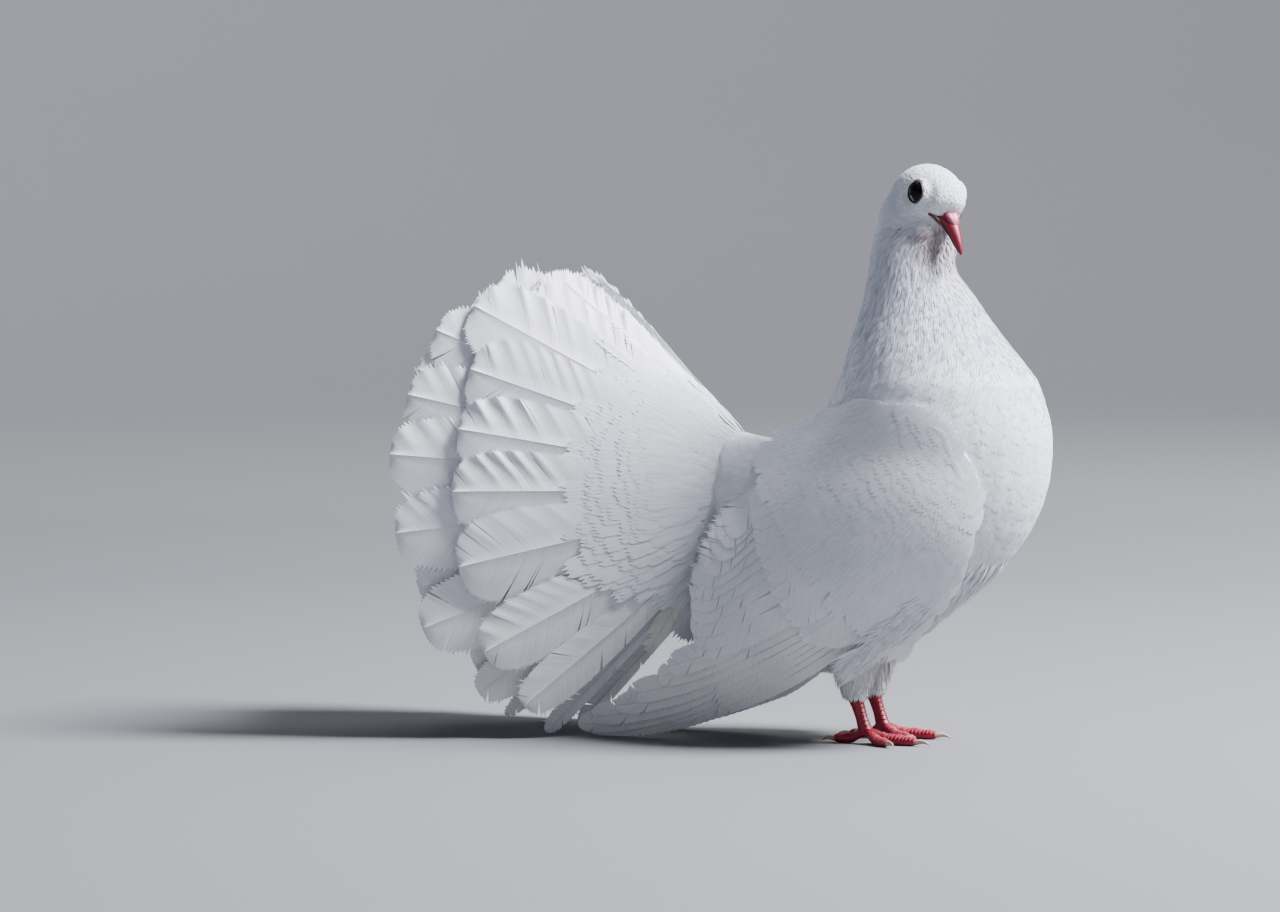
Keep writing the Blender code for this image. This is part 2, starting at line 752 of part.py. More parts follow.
def blend(values, share):
    """The parabola through three values at the start, middle and end."""
    first, middle, last = values
    return (first * (1 - share) * (1 - 2 * share)
            + 4 * middle * share * (1 - share)
            + last * share * (2 * share - 1))


def vane(place, half_width, heights, lean, camber=0.0,
         tip_width=VANE_STATIONS[-1][1], tip_round=VANE_TIP_ROUND):
    """A thin blade. Place gives a point from share, ahead, across, height."""
    slope = math.tan(math.radians(lean))
    outer = []
    inner = []
    for share, width, thick in VANE_STATIONS:
        tops = []
        lows = []
        for part in (-1.0, 0.0, 1.0):
            at_tip = share == 1.0
            across = part * half_width * (tip_width if at_tip else width)
            ahead = tip_round * half_width if at_tip and not part else 0.0
            height = (blend(heights, share) - across * slope
                      - camber * part * part * width)
            tops.append(place(share, ahead, across, height))
            lows.append(place(share, ahead, across,
                              height - thick * VANE_THICKNESS))
        outer.append(tops)
        inner.append(lows)
    return sheet_solid("vane", outer, inner, FLIGHT, CUTTERS)


def wing_vane(side, row, heights, lean):
    root_p, root_q, tip_p, tip_q, half_width, sag = row
    run = math.hypot(tip_p - root_p, tip_q - root_q)

    def centre(share):
        return (root_p + (tip_p - root_p) * share,
                root_q + (tip_q - root_q) * share
                - 4.0 * sag * share * (1.0 - share))

    def place(share, ahead, across, height):
        p, q = centre(share + ahead / run)
        p0, q0 = centre(share - 0.02)
        p1, q1 = centre(share + 0.02)
        length = math.hypot(p1 - p0, q1 - q0)
        p -= across * (q1 - q0) / length
        q += across * (p1 - p0) / length
        return wing_point(side, p, q, height)

    return vane(place, half_width, heights, lean)


def wing_shield(side):
    outer = []
    inner = []
    end = SHIELD_STATIONS[-1]
    for p in SHIELD_STATIONS:
        _, low, high, _, _, _ = row_at(WING_ROWS, p)
        back = max(0.0, p - SHIELD_FLAT) / (end - SHIELD_FLAT)
        top = SHIELD_TOP + (SHIELD_TOP_END - SHIELD_TOP) * back
        bottom = SHIELD_BOTTOM + (SHIELD_BOTTOM_END - SHIELD_BOTTOM) * back
        tops = []
        lows = []
        low += SHIELD_NARROWING * back * back
        for step in range(SHIELD_COLUMNS + 1):
            v = step / SHIELD_COLUMNS
            q = low + (high - low) * v
            edge = min(1.0, SHIELD_EDGE + 4.0 * v * (1.0 - v))
            tops.append(wing_point(side, p, q, top))
            lows.append(wing_point(side, p, q, top + (bottom - top) * edge))
        outer.append(tops)
        inner.append(lows)
    return sheet_solid("wing_" + side, outer, inner, FLIGHT)


def build_wing(side):
    wing = wing_shield(side)
    vanes = []
    for count, heights, step_down, lean, rows in WING_TIERS:
        for index, row in enumerate(smooth_rows(rows, count)):
            drop = step_down * (count - 1 - index)
            lowered = [heights[0] + drop * ROOT_STEP,
                       heights[1] + drop, heights[2] + drop]
            vanes.append(wing_vane(side, row, lowered, lean))
    apply_boolean(wing, "UNION", vanes)
    tail = tail_base_solid("grown_tail", CUTTERS, GAP)
    return apply_boolean(wing, "DIFFERENCE", [grown_torso(), tail])


def fan_direction(side, arch):
    angle = math.radians(arch)
    y = FAN_SPREAD * math.sin(angle)
    rise = FAN_RISE_ABOVE if arch < 90.0 else FAN_RISE_BELOW
    z = rise * math.cos(angle) - FAN_DROP
    return Vector((-math.sqrt(1.0 - y * y - z * z), y * SIDES[side], z))


def fan_point(side, arch, radius, height=0.0):
    angle = math.radians(arch)
    high = FAN_ROOT_ABOVE if arch < 90.0 else FAN_ROOT_BELOW
    root = FAN_ROOT + Vector((0.0,
                              FAN_ROOT_WIDE * math.sin(angle) * SIDES[side],
                              high * math.cos(angle)))
    point = root + fan_direction(side, arch) * radius
    if height:
        point += fan_normal(side, arch) * height
    return point


def fan_normal(side, arch):
    along = fan_direction(side, arch)
    across = fan_direction(side, arch + 2.0) - fan_direction(side,
                                                             arch - 2.0)
    normal = along.cross(across).normalized()
    if normal.dot(Vector((0.6, SIDES[side], 0.4))) < 0.0:
        normal.negate()
    return normal


def fan_length(arch):
    short = max(0.0, FAN_CROWN_ARCH - arch) / FAN_CROWN_ARCH
    foot = max(0.0, arch - FAN_FOOT_ARCH) / (FAN_LOWEST - FAN_FOOT_ARCH)
    return FAN_LENGTH - FAN_CROWN_SHORT * short ** 1.3 - FAN_FOOT_SHORT * foot


def fan_block(side, collection):
    """Flesh and coverts that the tail feathers of one side grow from."""
    steps = 10
    x, z, wide, high = TAIL_BASE_SECTIONS[-1]
    clear = Vector((0.0, GAP / 2 * SIDES[side], 0.0))
    rings = []
    for radius, swell in ((0.0, 0.0), (22.0, 2.2), (34.0, 1.2), (42.0, -1.5)):
        ring = []
        for step in range(steps + 1):
            share = step / steps
            if radius:
                arch = 175.0 * share
                below = max(0.0, arch - FAN_LOWEST) / (180.0 - FAN_LOWEST)
                point = fan_point(side, arch, radius * (1.0 - 0.3 * below),
                                  swell)
            else:
                angle = math.pi * share
                point = Vector((FAN_FACE_X,
                                wide * math.sin(angle) * SIDES[side],
                                z + high * math.cos(angle)))
            point.y += clear.y
            ring.append(point)
        bottom = ring[-1].copy()
        top = ring[0].copy()
        ring[0].y = clear.y
        for share in (0.0, 0.35, 0.7):
            point = bottom.lerp(top, share)
            point.y = clear.y
            ring.append(point)
        rings.append(ring)
    return loft("fan_block", rings, PLUMAGE, collection)


def fan_vane(side, arch, length, half_width, heights):
    along = fan_direction(side, arch)
    across_way = (fan_direction(side, arch + 2.0)
                  - fan_direction(side, arch - 2.0))
    across_way = (across_way - along * across_way.dot(along)).normalized()
    normal = fan_normal(side, arch)
    room = abs(across_way.y)

    def place(share, ahead, across, height):
        radius = (FAN_VANE_ROOT + (length - FAN_VANE_ROOT) * share + ahead)
        centre = fan_point(side, arch, radius) + normal * height
        if across and room > 0.05:
            free = max(1.5, (abs(centre.y) - 2.0 * GAP) / room)
            across = math.copysign(min(abs(across), free), across)
        return centre + across_way * across

    return vane(place, half_width, heights, FAN_LEAN, FAN_CAMBER,
                TAIL_TIP_WIDTH, TAIL_TIP_ROUND)


def build_fan(side):
    """One half of the tail: two full rows of feathers and their coverts."""
    draw = random.Random(FEATHER_SEED)
    span = FAN_LOWEST - FAN_HIGHEST
    pitch = span / (FAN_ROWS[0][0] - 1)
    vanes = []
    for (count, heights, reach_share, width_share), inset in zip(
            FAN_ROWS, FAN_ROW_INSET):
        first = FAN_HIGHEST + inset * pitch
        last = FAN_LOWEST - inset * pitch
        for index in range(count):
            arch = first + (last - first) * index / (count - 1)
            arch += draw.uniform(-0.8, 0.8) if 0 < index < count - 1 else 0.0
            length = fan_length(arch) * reach_share
            length *= draw.uniform(0.975, 1.0)
            half_width = FAN_HALF_WIDTH * width_share
            vanes.append(fan_vane(side, arch, length, half_width, heights))
    fan = fan_block(side, PARTS)
    fan.name = "tail_fan_" + side
    return apply_boolean(fan, "UNION", vanes)


def centre_on_footprint():
    """Put the origin under the middle of the whole bird, on the floor."""
    corners = []
    for item in PARTS.objects:
        corners.extend(vert.co for vert in item.data.vertices)
    shift = Vector((0.0, 0.0, 0.0))
    for axis in (0, 1):
        values = [corner[axis] for corner in corners]
        shift[axis] = -0.5 * (min(values) + max(values))
    for item in PARTS.objects:
        item.data.transform(Matrix.Translation(shift))


build_torso()
build_neck()
build_tail_base()
build_head()
build_eyes()
build_bill()
for wing_side in SIDES:
    build_thigh(wing_side)
    build_foot(wing_side)
    build_claws(wing_side)
    build_wing(wing_side)
    build_fan(wing_side)
centre_on_footprint()
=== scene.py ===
"""Fantail pigeon: skin, plumage, eyes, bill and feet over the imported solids.

Sizes are in millimetres in the bird's own frame, which has +X ahead, the
right side at -Y and the floor at z = 0. They become metres in to_frame.
"""
import math
import random

import bpy
import numpy as np
from mathutils import Matrix, Vector
from mathutils.bvhtree import BVHTree


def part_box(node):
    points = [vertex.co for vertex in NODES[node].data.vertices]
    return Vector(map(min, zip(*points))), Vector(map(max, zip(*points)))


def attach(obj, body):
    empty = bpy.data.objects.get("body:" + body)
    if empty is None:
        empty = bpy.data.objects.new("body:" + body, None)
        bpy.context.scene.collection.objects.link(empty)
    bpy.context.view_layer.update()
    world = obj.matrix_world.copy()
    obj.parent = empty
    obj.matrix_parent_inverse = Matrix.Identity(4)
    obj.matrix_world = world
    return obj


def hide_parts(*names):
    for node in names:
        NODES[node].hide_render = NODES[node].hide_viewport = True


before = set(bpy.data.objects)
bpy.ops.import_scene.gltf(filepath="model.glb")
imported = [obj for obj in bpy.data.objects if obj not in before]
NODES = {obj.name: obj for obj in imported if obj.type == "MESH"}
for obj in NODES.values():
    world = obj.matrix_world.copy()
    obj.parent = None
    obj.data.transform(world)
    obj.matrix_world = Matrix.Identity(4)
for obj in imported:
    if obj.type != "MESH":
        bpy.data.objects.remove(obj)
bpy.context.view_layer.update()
MM = 0.001
SIDES = {"right": -1.0, "left": 1.0}
RNG = np.random.default_rng(7)
TAIL_SEEDS = {"right": 21, "left": 22}
WING_SEEDS = {"right": 31, "left": 32}

# The clearance that the solids keep between neighbours.
GAP = 0.3
# How thick each kind of feather is.
TUFT_THICK = 0.06
COVERT_THICK = 0.08
WING_VANE_THICK = 0.25
TAIL_VANE_THICK = 0.3
# How near the floor and the middle plane the long feathers may come.
WING_FLOOR_GAP = 0.35
TAIL_FLOOR_GAP = 0.4
TAIL_MIDDLE_GAP = 0.45
COVERT_MIDDLE_GAP = 0.35
# How much a small feather's middle stands up, as a share of its width.
TUFT_CAMBER = 0.035
COVERT_CAMBER = 0.02
# The size of each tuft's own patch on the bake map.
BAKE_PATCH = 0.003
# In metres, as Blender's tools take them: how near points are merged, how
# far a solid is grown to close its gaps, how far the skin lies inside the
# solids, and the grain of the skin's and the legs' new meshes.
WELD = 0.00001
GAP_GROWTH = 0.0004
COAT_DEPTH = 0.0008
SKIN_VOXEL = 0.0012
LEG_VOXEL = 0.00045

# Head
HEAD_CENTRE = Vector((26.4, 0.0, 239.4))
HEAD_YAW = math.radians(-33.5)
EYE_SURFACE = Vector((7.2, 13.2, 4.8))
EYE_AHEAD = math.radians(8.0)
EYE_LIFT = math.radians(8.0)
EYE_RADIUS = 6.7
EYE_PROUD = 1.5


def head_point(forward, out, up):
    """A point in the head's own axes: forward, to its left, up."""
    turn = Matrix.Rotation(HEAD_YAW, 3, "Z")
    return HEAD_CENTRE + turn @ Vector((forward, out, up))


def eye_axes(side):
    """The way an eye looks, and two directions square to it."""
    look = Vector((math.sin(EYE_AHEAD) * math.cos(EYE_LIFT),
                   math.cos(EYE_AHEAD) * math.cos(EYE_LIFT) * SIDES[side],
                   math.sin(EYE_LIFT)))
    look = Matrix.Rotation(HEAD_YAW, 3, "Z") @ look
    level = look.cross(Vector((0.0, 0.0, 1.0))).normalized()
    return look, level, level.cross(look)


def eye_centre(side):
    """The middle of an eyeball, which stands a little proud of the head."""
    forward, out, up = EYE_SURFACE
    surface = head_point(forward, out * SIDES[side], up)
    return surface + eye_axes(side)[0] * (EYE_PROUD - EYE_RADIUS)


eye_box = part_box("eye_right")
SHIFT = np.array([
    (eye_box[0].x + eye_box[1].x) / 2 / MM - eye_centre("right").x, 0.0, 0.0])


def to_frame(points):
    """Points of the bird's frame in mm, as metres in the CAD frame."""
    return (np.asarray(points, float) + SHIFT) * MM


def to_bird(points):
    """Points of the CAD frame in metres, as mm in the bird's frame."""
    return np.asarray(points, float) / MM - SHIFT


def unit(vectors):
    """Vectors of length one."""
    size = np.linalg.norm(vectors, axis=-1, keepdims=True)
    return vectors / np.maximum(size, 1e-9)


def fade(values, start, end):
    """0 before start and 1 past end, with a smooth step between."""
    share = np.clip((np.asarray(values) - start) / (end - start), 0.0, 1.0)
    return share * share * (3.0 - 2.0 * share)


# Materials


def linear(code):
    """An sRGB hex colour as linear red, green, blue and alpha."""
    result = []
    for index in (0, 2, 4):
        value = int(code[index:index + 2], 16) / 255.0
        low = value / 12.92
        high = ((value + 0.055) / 1.055) ** 2.4
        result.append(low if value <= 0.04045 else high)
    return (*result, 1.0)


def add(tree, kind, settings=None, links=None):
    """Add a node, set its properties and sockets, and link its inputs."""
    made = tree.nodes.new(kind)
    for key, value in (settings or {}).items():
        if isinstance(key, str) and hasattr(made, key):
            setattr(made, key, value)
        else:
            made.inputs[key].default_value = value
    for key, source in (links or {}).items():
        tree.links.new(source, made.inputs[key])
    return made


def new_material(name, roughness, **sockets):
    """A material with its node tree and shader, some sockets set."""
    material = bpy.data.materials.new(name)
    material.use_nodes = True
    tree = material.node_tree
    shader = tree.nodes["Principled BSDF"]
    shader.inputs["Roughness"].default_value = roughness
    for key, value in sockets.items():
        shader.inputs[key.replace("_", " ")].default_value = value
    return material, tree, shader


def mixed(tree, share, first, second, mode="MIX"):
    """Mix two colours, each a hex code or an output, by a number or output."""
    made = add(tree, "ShaderNodeMix", {"data_type": "RGBA",
                                       "blend_type": mode})
    for index, value in ((0, share), (6, first), (7, second)):
        if isinstance(value, str):
            made.inputs[index].default_value = linear(value)
        elif isinstance(value, float):
            made.inputs[index].default_value = value
        else:
            tree.links.new(value, made.inputs[index])
    return made.outputs[2]


def noise(tree, scale, detail):
    """Even noise in the object's own metres."""
    place = add(tree, "ShaderNodeTexCoord")
    return add(tree, "ShaderNodeTexNoise",
               {"Scale": scale, "Detail": detail},
               {"Vector": place.outputs["Object"]}).outputs[0]


def ranged(tree, value, low, high, start=0.0, end=1.0):
    """A value's range from low to high, spread from start to end."""
    return add(tree, "ShaderNodeMapRange",
               {"From Min": low, "From Max": high, "To Min": start,
                "To Max": end}, {"Value": value}).outputs[0]


def marking(tree, name, output):
    """What a piece's points carry: their tint, or their mark."""
    return add(tree, "ShaderNodeAttribute",
               {"attribute_name": name}).outputs[output]


def raise_bumps(tree, shader, strength, distance, height):
    """Let a height output roughen the surface."""
    bump = add(tree, "ShaderNodeBump",
               {"Strength": strength, "Distance": distance},
               {"Height": height})
    tree.links.new(bump.outputs["Normal"], shader.inputs["Normal"])


def plumage_material(name, white, shade, barb, lift, roughness):
    """Keratin barbs: dull white, with a soft sheen along their lie.

    The tint attribute carries the bird's markings and some painted shade. The
    vane map runs across the barbs in mm, so the barbs are lines of even
    spacing.
    """
    material, tree, shader = new_material(
        name, roughness, IOR=1.54, Sheen_Weight=0.12, Sheen_Roughness=0.5,
        Subsurface_Weight=0.12, Subsurface_Scale=0.003)
    shader.inputs["Subsurface Radius"].default_value = (1.0, 0.9, 0.8)
    vane = add(tree, "ShaderNodeUVMap", {"uv_map": "vane"})
    stretch = add(tree, "ShaderNodeMapping",
                  {"Scale": (1000.0 / barb, 60.0, 1.0)},
                  {"Vector": vane.outputs["UV"]})
    barbs = add(tree, "ShaderNodeTexNoise",
                {"noise_dimensions": "2D", "Scale": 1.0, "Detail": 2.0,
                 "Roughness": 0.6},
                {"Vector": stretch.outputs["Vector"]})
    line = ranged(tree, barbs.outputs[0], 0.3, 0.7)
    cloud = ranged(tree, noise(tree, 45.0, 3.0), 0.35, 0.7)
    body = mixed(tree, line, shade, white)
    soft = mixed(tree, cloud, "F4F5F8", "FFFFFF")
    body = mixed(tree, 1.0, body, soft, "MULTIPLY")
    tint = marking(tree, "tint", "Color")
    colour = mixed(tree, 1.0, body, tint, "MULTIPLY")
    tree.links.new(colour, shader.inputs["Base Color"])
    raise_bumps(tree, shader, 0.5, lift, barbs.outputs[0])
    return material


# Small body feathers: loose, matt barbs, so the light spreads softly.
PLUMAGE = plumage_material("white_contour_plumage", "ECEDF1", "D6D9E1",
                           0.9, 0.00012, 0.82)
# Flight and tail feathers: barbs zipped into a sheet with a satin gloss.
FLIGHT = plumage_material("white_flight_vane", "ECECF0", "DDDEE4",
                          1.1, 0.00010, 0.55)


def skin_material():
    """White down over skin: matt, and soft where the feathers part."""
    material, tree, shader = new_material("white_downy_skin", 0.9, IOR=1.4,
                                          Sheen_Weight=0.15)
    down = noise(tree, 700.0, 4.0)
    body = mixed(tree, down, "CBCDD4", "E4E5E9")
    tint = marking(tree, "tint", "Color")
    colour = mixed(tree, 1.0, body, tint, "MULTIPLY")
    tree.links.new(colour, shader.inputs["Base Color"])
    raise_bumps(tree, shader, 0.6, 0.0003, down)
    return material


SKIN = skin_material()


def horn_material(name, base, dark, roughness, grain=400.0):
    """Horn or bare skin: a thin waxy gloss over a mottled ground."""
    material, tree, shader = new_material(
        name, roughness, IOR=1.55, Coat_Weight=0.2, Coat_Roughness=0.25,
        Subsurface_Weight=0.05, Subsurface_Scale=0.001)
    mottle = noise(tree, grain, 4.0)
    share = ranged(tree, mottle, 0.35, 0.75, 0.0, 0.4)
    ground = mixed(tree, share, base, dark)
    colour = mixed(tree, marking(tree, "mark", "Fac"), ground, dark)
    tree.links.new(colour, shader.inputs["Base Color"])
    raise_bumps(tree, shader, 0.35, 0.0002, mottle)
    return material


# The bill is smooth horn, a dark crimson that deepens to its base and tip.
BILL = horn_material("pink_bill_horn", "7C0826", "220208", 0.42)
# The cere is swollen bare skin with a chalky bloom, so it stays matt.
CERE = horn_material("chalky_pink_cere", "A03C58", "5C0E26", 0.5, 900.0)
# Claws are pale horn, worn smooth and darker at the tip.
CLAW = horn_material("pale_claw_horn", "BFA190", "6B4A40", 0.32)
# The lids' rims are bare dark skin with a fine grain.
LID = horn_material("bare_eyelid_skin", "4A3328", "160C08", 0.55, 1500.0)


def leg_material():
    """Crimson leg skin under scales whose edges are pale and dry."""
    material, tree, shader = new_material(
        "crimson_scaled_leg_skin", 0.38, IOR=1.45, Subsurface_Weight=0.05,
        Subsurface_Scale=0.0012)
    place = add(tree, "ShaderNodeTexCoord")
    cells = add(tree, "ShaderNodeTexVoronoi",
                {"feature": "DISTANCE_TO_EDGE", "Scale": 900.0},
                {"Vector": place.outputs["Object"]})
    edge = ranged(tree, cells.outputs["Distance"], 0.0, 0.16, 1.0, 0.0)
    ground = mixed(tree, noise(tree, 160.0, 3.0), "5A0212", "A0082A")
    dusty = mixed(tree, 0.18, ground, "C4607A")
    bare = mixed(tree, edge, ground, dusty)
    colour = mixed(tree, marking(tree, "mark", "Fac"), bare, "A84A58")
    tree.links.new(colour, shader.inputs["Base Color"])
    raise_bumps(tree, shader, 0.5, 0.0003, cells.outputs["Distance"])
    return material


LEG = leg_material()


def eye_material():
    """A wet cornea over a black pupil and a thin dark brown iris."""
    material, tree, shader = new_material("wet_dark_eye", 0.06, IOR=1.28)
    iris = mixed(tree, noise(tree, 2500.0, 3.0), "120806", "2E1A10")
    colour = mixed(tree, marking(tree, "mark", "Fac"), "020101", iris)
    tree.links.new(colour, shader.inputs["Base Color"])
    return material


EYE = eye_material()

# Mesh helpers


def deselect():
    """Leave any edit, and select nothing."""
    if bpy.context.object and bpy.context.object.mode != "OBJECT":
        bpy.ops.object.mode_set(mode="OBJECT")
    bpy.ops.object.select_all(action="DESELECT")


def pick(item):
    """Select one object alone."""
    deselect()
    item.select_set(True)
    bpy.context.view_layer.objects.active = item


def apply_modifier(item, kind, **settings):
    """Add a modifier and apply it at once."""
    modifier = item.modifiers.new(kind.lower(), kind)
    for key, value in settings.items():
        setattr(modifier, key, value)
    pick(item)
    bpy.ops.object.modifier_apply(modifier=modifier.name)


def join(items, name):
    """Some objects as one, under a new name."""
    deselect()
    for item in items:
        item.select_set(True)
    bpy.context.view_layer.objects.active = items[0]
    bpy.ops.object.join()
    items[0].name = name
    items[0].data.name = name
    return items[0]


def piece(name, material, points, faces, smooth=50.0):
    """A mesh object from points in the bird's frame and a list of faces."""
    mesh = bpy.data.meshes.new(name)
    mesh.from_pydata(to_frame(points).tolist(), [], faces)
    mesh.materials.append(material)
    item = bpy.data.objects.new(name, mesh)
    bpy.context.scene.collection.objects.link(item)
    finish_piece(item, smooth)
    return item


def mesh_points(item):
    """A mesh object's points, in the bird's frame."""
    mesh = item.data
    points = np.empty(len(mesh.vertices) * 3)
    mesh.vertices.foreach_get("co", points)
    return to_bird(points.reshape(-1, 3))


def finish_piece(item, smooth):
    """Turn the faces out, smooth them up to an angle, and ride the bird."""
    pick(item)
    bpy.ops.object.mode_set(mode="EDIT")
    bpy.ops.mesh.select_all(action="SELECT")
    bpy.ops.mesh.normals_make_consistent(inside=False)
    bpy.ops.object.mode_set(mode="OBJECT")
    bpy.ops.object.shade_smooth_by_angle(angle=math.radians(smooth))
    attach(item, "root")


def set_mark(item, values):
    """A number for each point, which the material reads as its marking."""
    mark = item.data.attributes.new("mark", "FLOAT", "POINT")
    mark.data.foreach_set("value", np.asarray(values, np.float32))


def set_tint(item, colours):
    """A colour for each point, which the material multiplies by."""
    tint = item.data.attributes.new("tint", "FLOAT_COLOR", "POINT")
    filled = np.ones((len(colours), 4), np.float32)
    filled[:, :3] = colours
    tint.data.foreach_set("color", filled.ravel())


def set_map(item, name, values):
    """A UV map from a value for each point."""
    layer = item.data.uv_layers.new(name=name)
    corners = np.empty(len(item.data.loops), np.int32)
    item.data.loops.foreach_get("vertex_index", corners)
    values = np.asarray(values)[corners]
    layer.data.foreach_set("uv", np.asarray(values, np.float32).ravel())


def loft(name, rings, material, smooth=60.0):
    """A closed shape through rings of equal count, its ends capped."""
    rings = [np.asarray(ring, float) for ring in rings]
    count = len(rings[0])
    points = np.concatenate(rings)
    faces = []
    for row in range(len(rings) - 1):
        for i in range(count):
            j = (i + 1) % count
            faces.append((row * count + i, row * count + j,
                          (row + 1) * count + j, (row + 1) * count + i))
    faces.append(tuple(range(count)))
    faces.append(tuple((len(rings) - 1) * count + i for i in range(count)))
    return piece(name, material, points, faces, smooth)


def ellipse(centre, along, across, half_along, half_across, sides):
    """A ring of points about a centre, in the plane of two directions."""
    angle = np.arange(sides) * 2 * math.pi / sides
    return (np.asarray(centre) + np.outer(np.cos(angle) * half_along, along)
            + np.outer(np.sin(angle) * half_across, across))


def smooth_rows(rows, count):
    """Rows evenly spaced on a Catmull-Rom curve through the given rows."""
    rows = np.asarray(rows, float)
    last = len(rows) - 1
    place = last * np.arange(count) / max(count - 1, 1)
    index = np.minimum(place.astype(int), last - 1)
    f = (place - index)[:, None]
    a = rows[np.maximum(index - 1, 0)]
    b = rows[index]
    c = rows[index + 1]
    d = rows[np.minimum(index + 2, last)]
    return 0.5 * (2 * b + (c - a) * f + (2 * a - 5 * b + 4 * c - d) * f * f
                  + (3 * b - a - 3 * c + d) * f ** 3)


# The wing's curved sheet, as the solids have it: p from wrist to tip, q
# across towards the back, and how far out the sheet stands.
WING_ORIGIN = (61.4, 116.4)
WING_SLOPE = math.radians(40.0)
WING_BEND_START = 60.0
WING_LENGTH = 229.0
WING_END_SLOPE = {"right": math.radians(20.3), "left": math.radians(20.2)}
WING_CLEARANCE = 2.4
# Ahead of this the sheet's edges run straight on.
WING_FIRST = -8.5
# The sheet's rows: p, its lower and upper edge in q, and how far out it
# stands at the lower edge, in the middle and at the upper edge.
WING_ROWS = (
    (-9.0, 20.0, 36.0, 38.0, 38.0, 38.0),
    (-2.0, 0.0, 45.0, 35.0, 42.5, 36.0),
    (20.0, -17.0, 62.0, 35.5, 50.5, 30.0),
    (45.0, -25.0, 72.0, 34.0, 54.0, 24.0),
    (75.0, -26.5, 73.5, 35.0, 54.0, 21.5),
    (100.0, -26.0, 63.0, 37.0, 52.0, 30.0),
    (118.0, -23.0, 53.0, 37.0, 48.5, 37.0),
    (135.0, -19.0, 44.0, 36.0, 45.0, 39.0),
    (156.0, -14.0, 27.0, 35.0, 40.0, 37.0),
    (177.0, -8.0, 20.0, 32.0, 34.0, 33.0),
    (200.0, -4.0, 20.0, 28.5, 29.5, 29.0),
    (235.0, 2.0, 22.0, 25.0, 25.0, 25.0),
)
# The body's sections, as the solids have them: centre x, centre z, half
# depth, half width, and how far the section slopes down to the front.
TORSO_SECTIONS = (
    (31.7, 160.9, 44.3, 42.0, 0.0),
    (30.7, 145.3, 50.9, 45.0, 1.4),
    (26.7, 132.4, 56.2, 46.0, 4.8),
    (20.6, 118.2, 59.5, 46.5, 10.0),
    (11.8, 103.1, 59.1, 45.5, 14.7),
    (0.5, 88.7, 55.0, 43.0, 18.5),
    (-10.6, 75.3, 48.3, 39.0, 22.3),
    (-21.3, 61.3, 41.5, 33.0, 27.3),
    (-30.0, 48.7, 32.8, 25.0, 29.8),
    (-37.1, 40.9, 19.4, 15.0, 29.5),
    (-41.5, 36.0, 6.0, 5.0, 29.5),
)
NECK_SECTIONS = (
    (20.8, 224.4, 20.4, 15.0, 30.0),
    (20.6, 216.0, 20.2, 17.0, 22.0),
    (22.0, 207.6, 22.4, 19.4, 12.0),
    (24.0, 198.0, 25.6, 23.2, 6.0),
    (25.8, 187.6, 30.2, 28.2, 3.0),
    (28.6, 174.2, 37.2, 35.6, 1.0),
    (31.7, 161.2, 44.3, 42.0, 0.0),
)
BODY_SECTIONS = np.concatenate([smooth_rows(NECK_SECTIONS, 20),
                                smooth_rows(TORSO_SECTIONS, 30)])


def row_at(rows, key):
    """The row whose first value is key, between the smooth rows."""
    last = len(rows) - 1
    index = 0
    while index < last - 1 and rows[index + 1][0] < key:
        index += 1
    low, high = rows[index], rows[index + 1]
    span = high[0] - low[0]
    f = (key - low[0]) / span
    before = rows[max(index - 1, 0)]
    after = rows[min(index + 2, last)]
    values = []
    for a, b, c, d in zip(before, low, high, after):
        slope_low = (c - a) / max(high[0] - before[0], 1e-6)
        slope_high = (d - b) / max(after[0] - low[0], 1e-6)
        values.append((2 * f ** 3 - 3 * f * f + 1) * b
                      + (f ** 3 - 2 * f * f + f) * span * slope_low
                      + (3 * f * f - 2 * f ** 3) * c
                      + (f ** 3 - f * f) * span * slope_high)
    return values


def body_half_width(x, z):
    """Half width of the neck and torso at points of the middle plane."""
    best = np.zeros_like(x)
    for low, high in zip(BODY_SECTIONS, BODY_SECTIONS[1:]):
        gaps = []
        for section in (low, high):
            angle = math.radians(section[4])
            gaps.append((x - section[0]) * math.sin(angle)
                        + (z - section[1]) * math.cos(angle))
        run = gaps[0] - gaps[1]
        share = gaps[0] / np.where(np.abs(run) < 1e-9, 1.0, run)
        inside = gaps[0] * gaps[1] <= 0.0
        mid = low[:, None] + (high - low)[:, None] * share.ravel()
        mid = mid.reshape(5, *x.shape)
        angle = np.radians(mid[4])
        off = ((x - mid[0]) * np.cos(angle)
               - (z - mid[1]) * np.sin(angle)) / mid[2]
        wide = mid[3] * np.sqrt(np.maximum(0.0, 1.0 - off * off))
        best = np.where(inside, np.maximum(best, wide), best)
    return best


# The wing's front edge on the sheet, from the shoulder down to the wrist.
WING_FRONT_EDGE = ((-6.0, 42.0), (-9.5, 32.0), (-8.5, 20.0), (-4.0, 4.5),
                   (4.0, -6.0), (14.5, -13.5), (24.0, -19.5), (33.0, -23.0),
                   (42.0, -24.0), (49.5, -22.5), (54.0, -18.5))

GRID_STEP = 2.0
GRID_P = np.arange(-14.0, 246.0, GRID_STEP)
GRID_Q = np.arange(-44.0, 92.0, GRID_STEP)
# How far past its lower and upper edge the sheet goes on curving.
SHEET_PAST = (-0.5, 1.12)


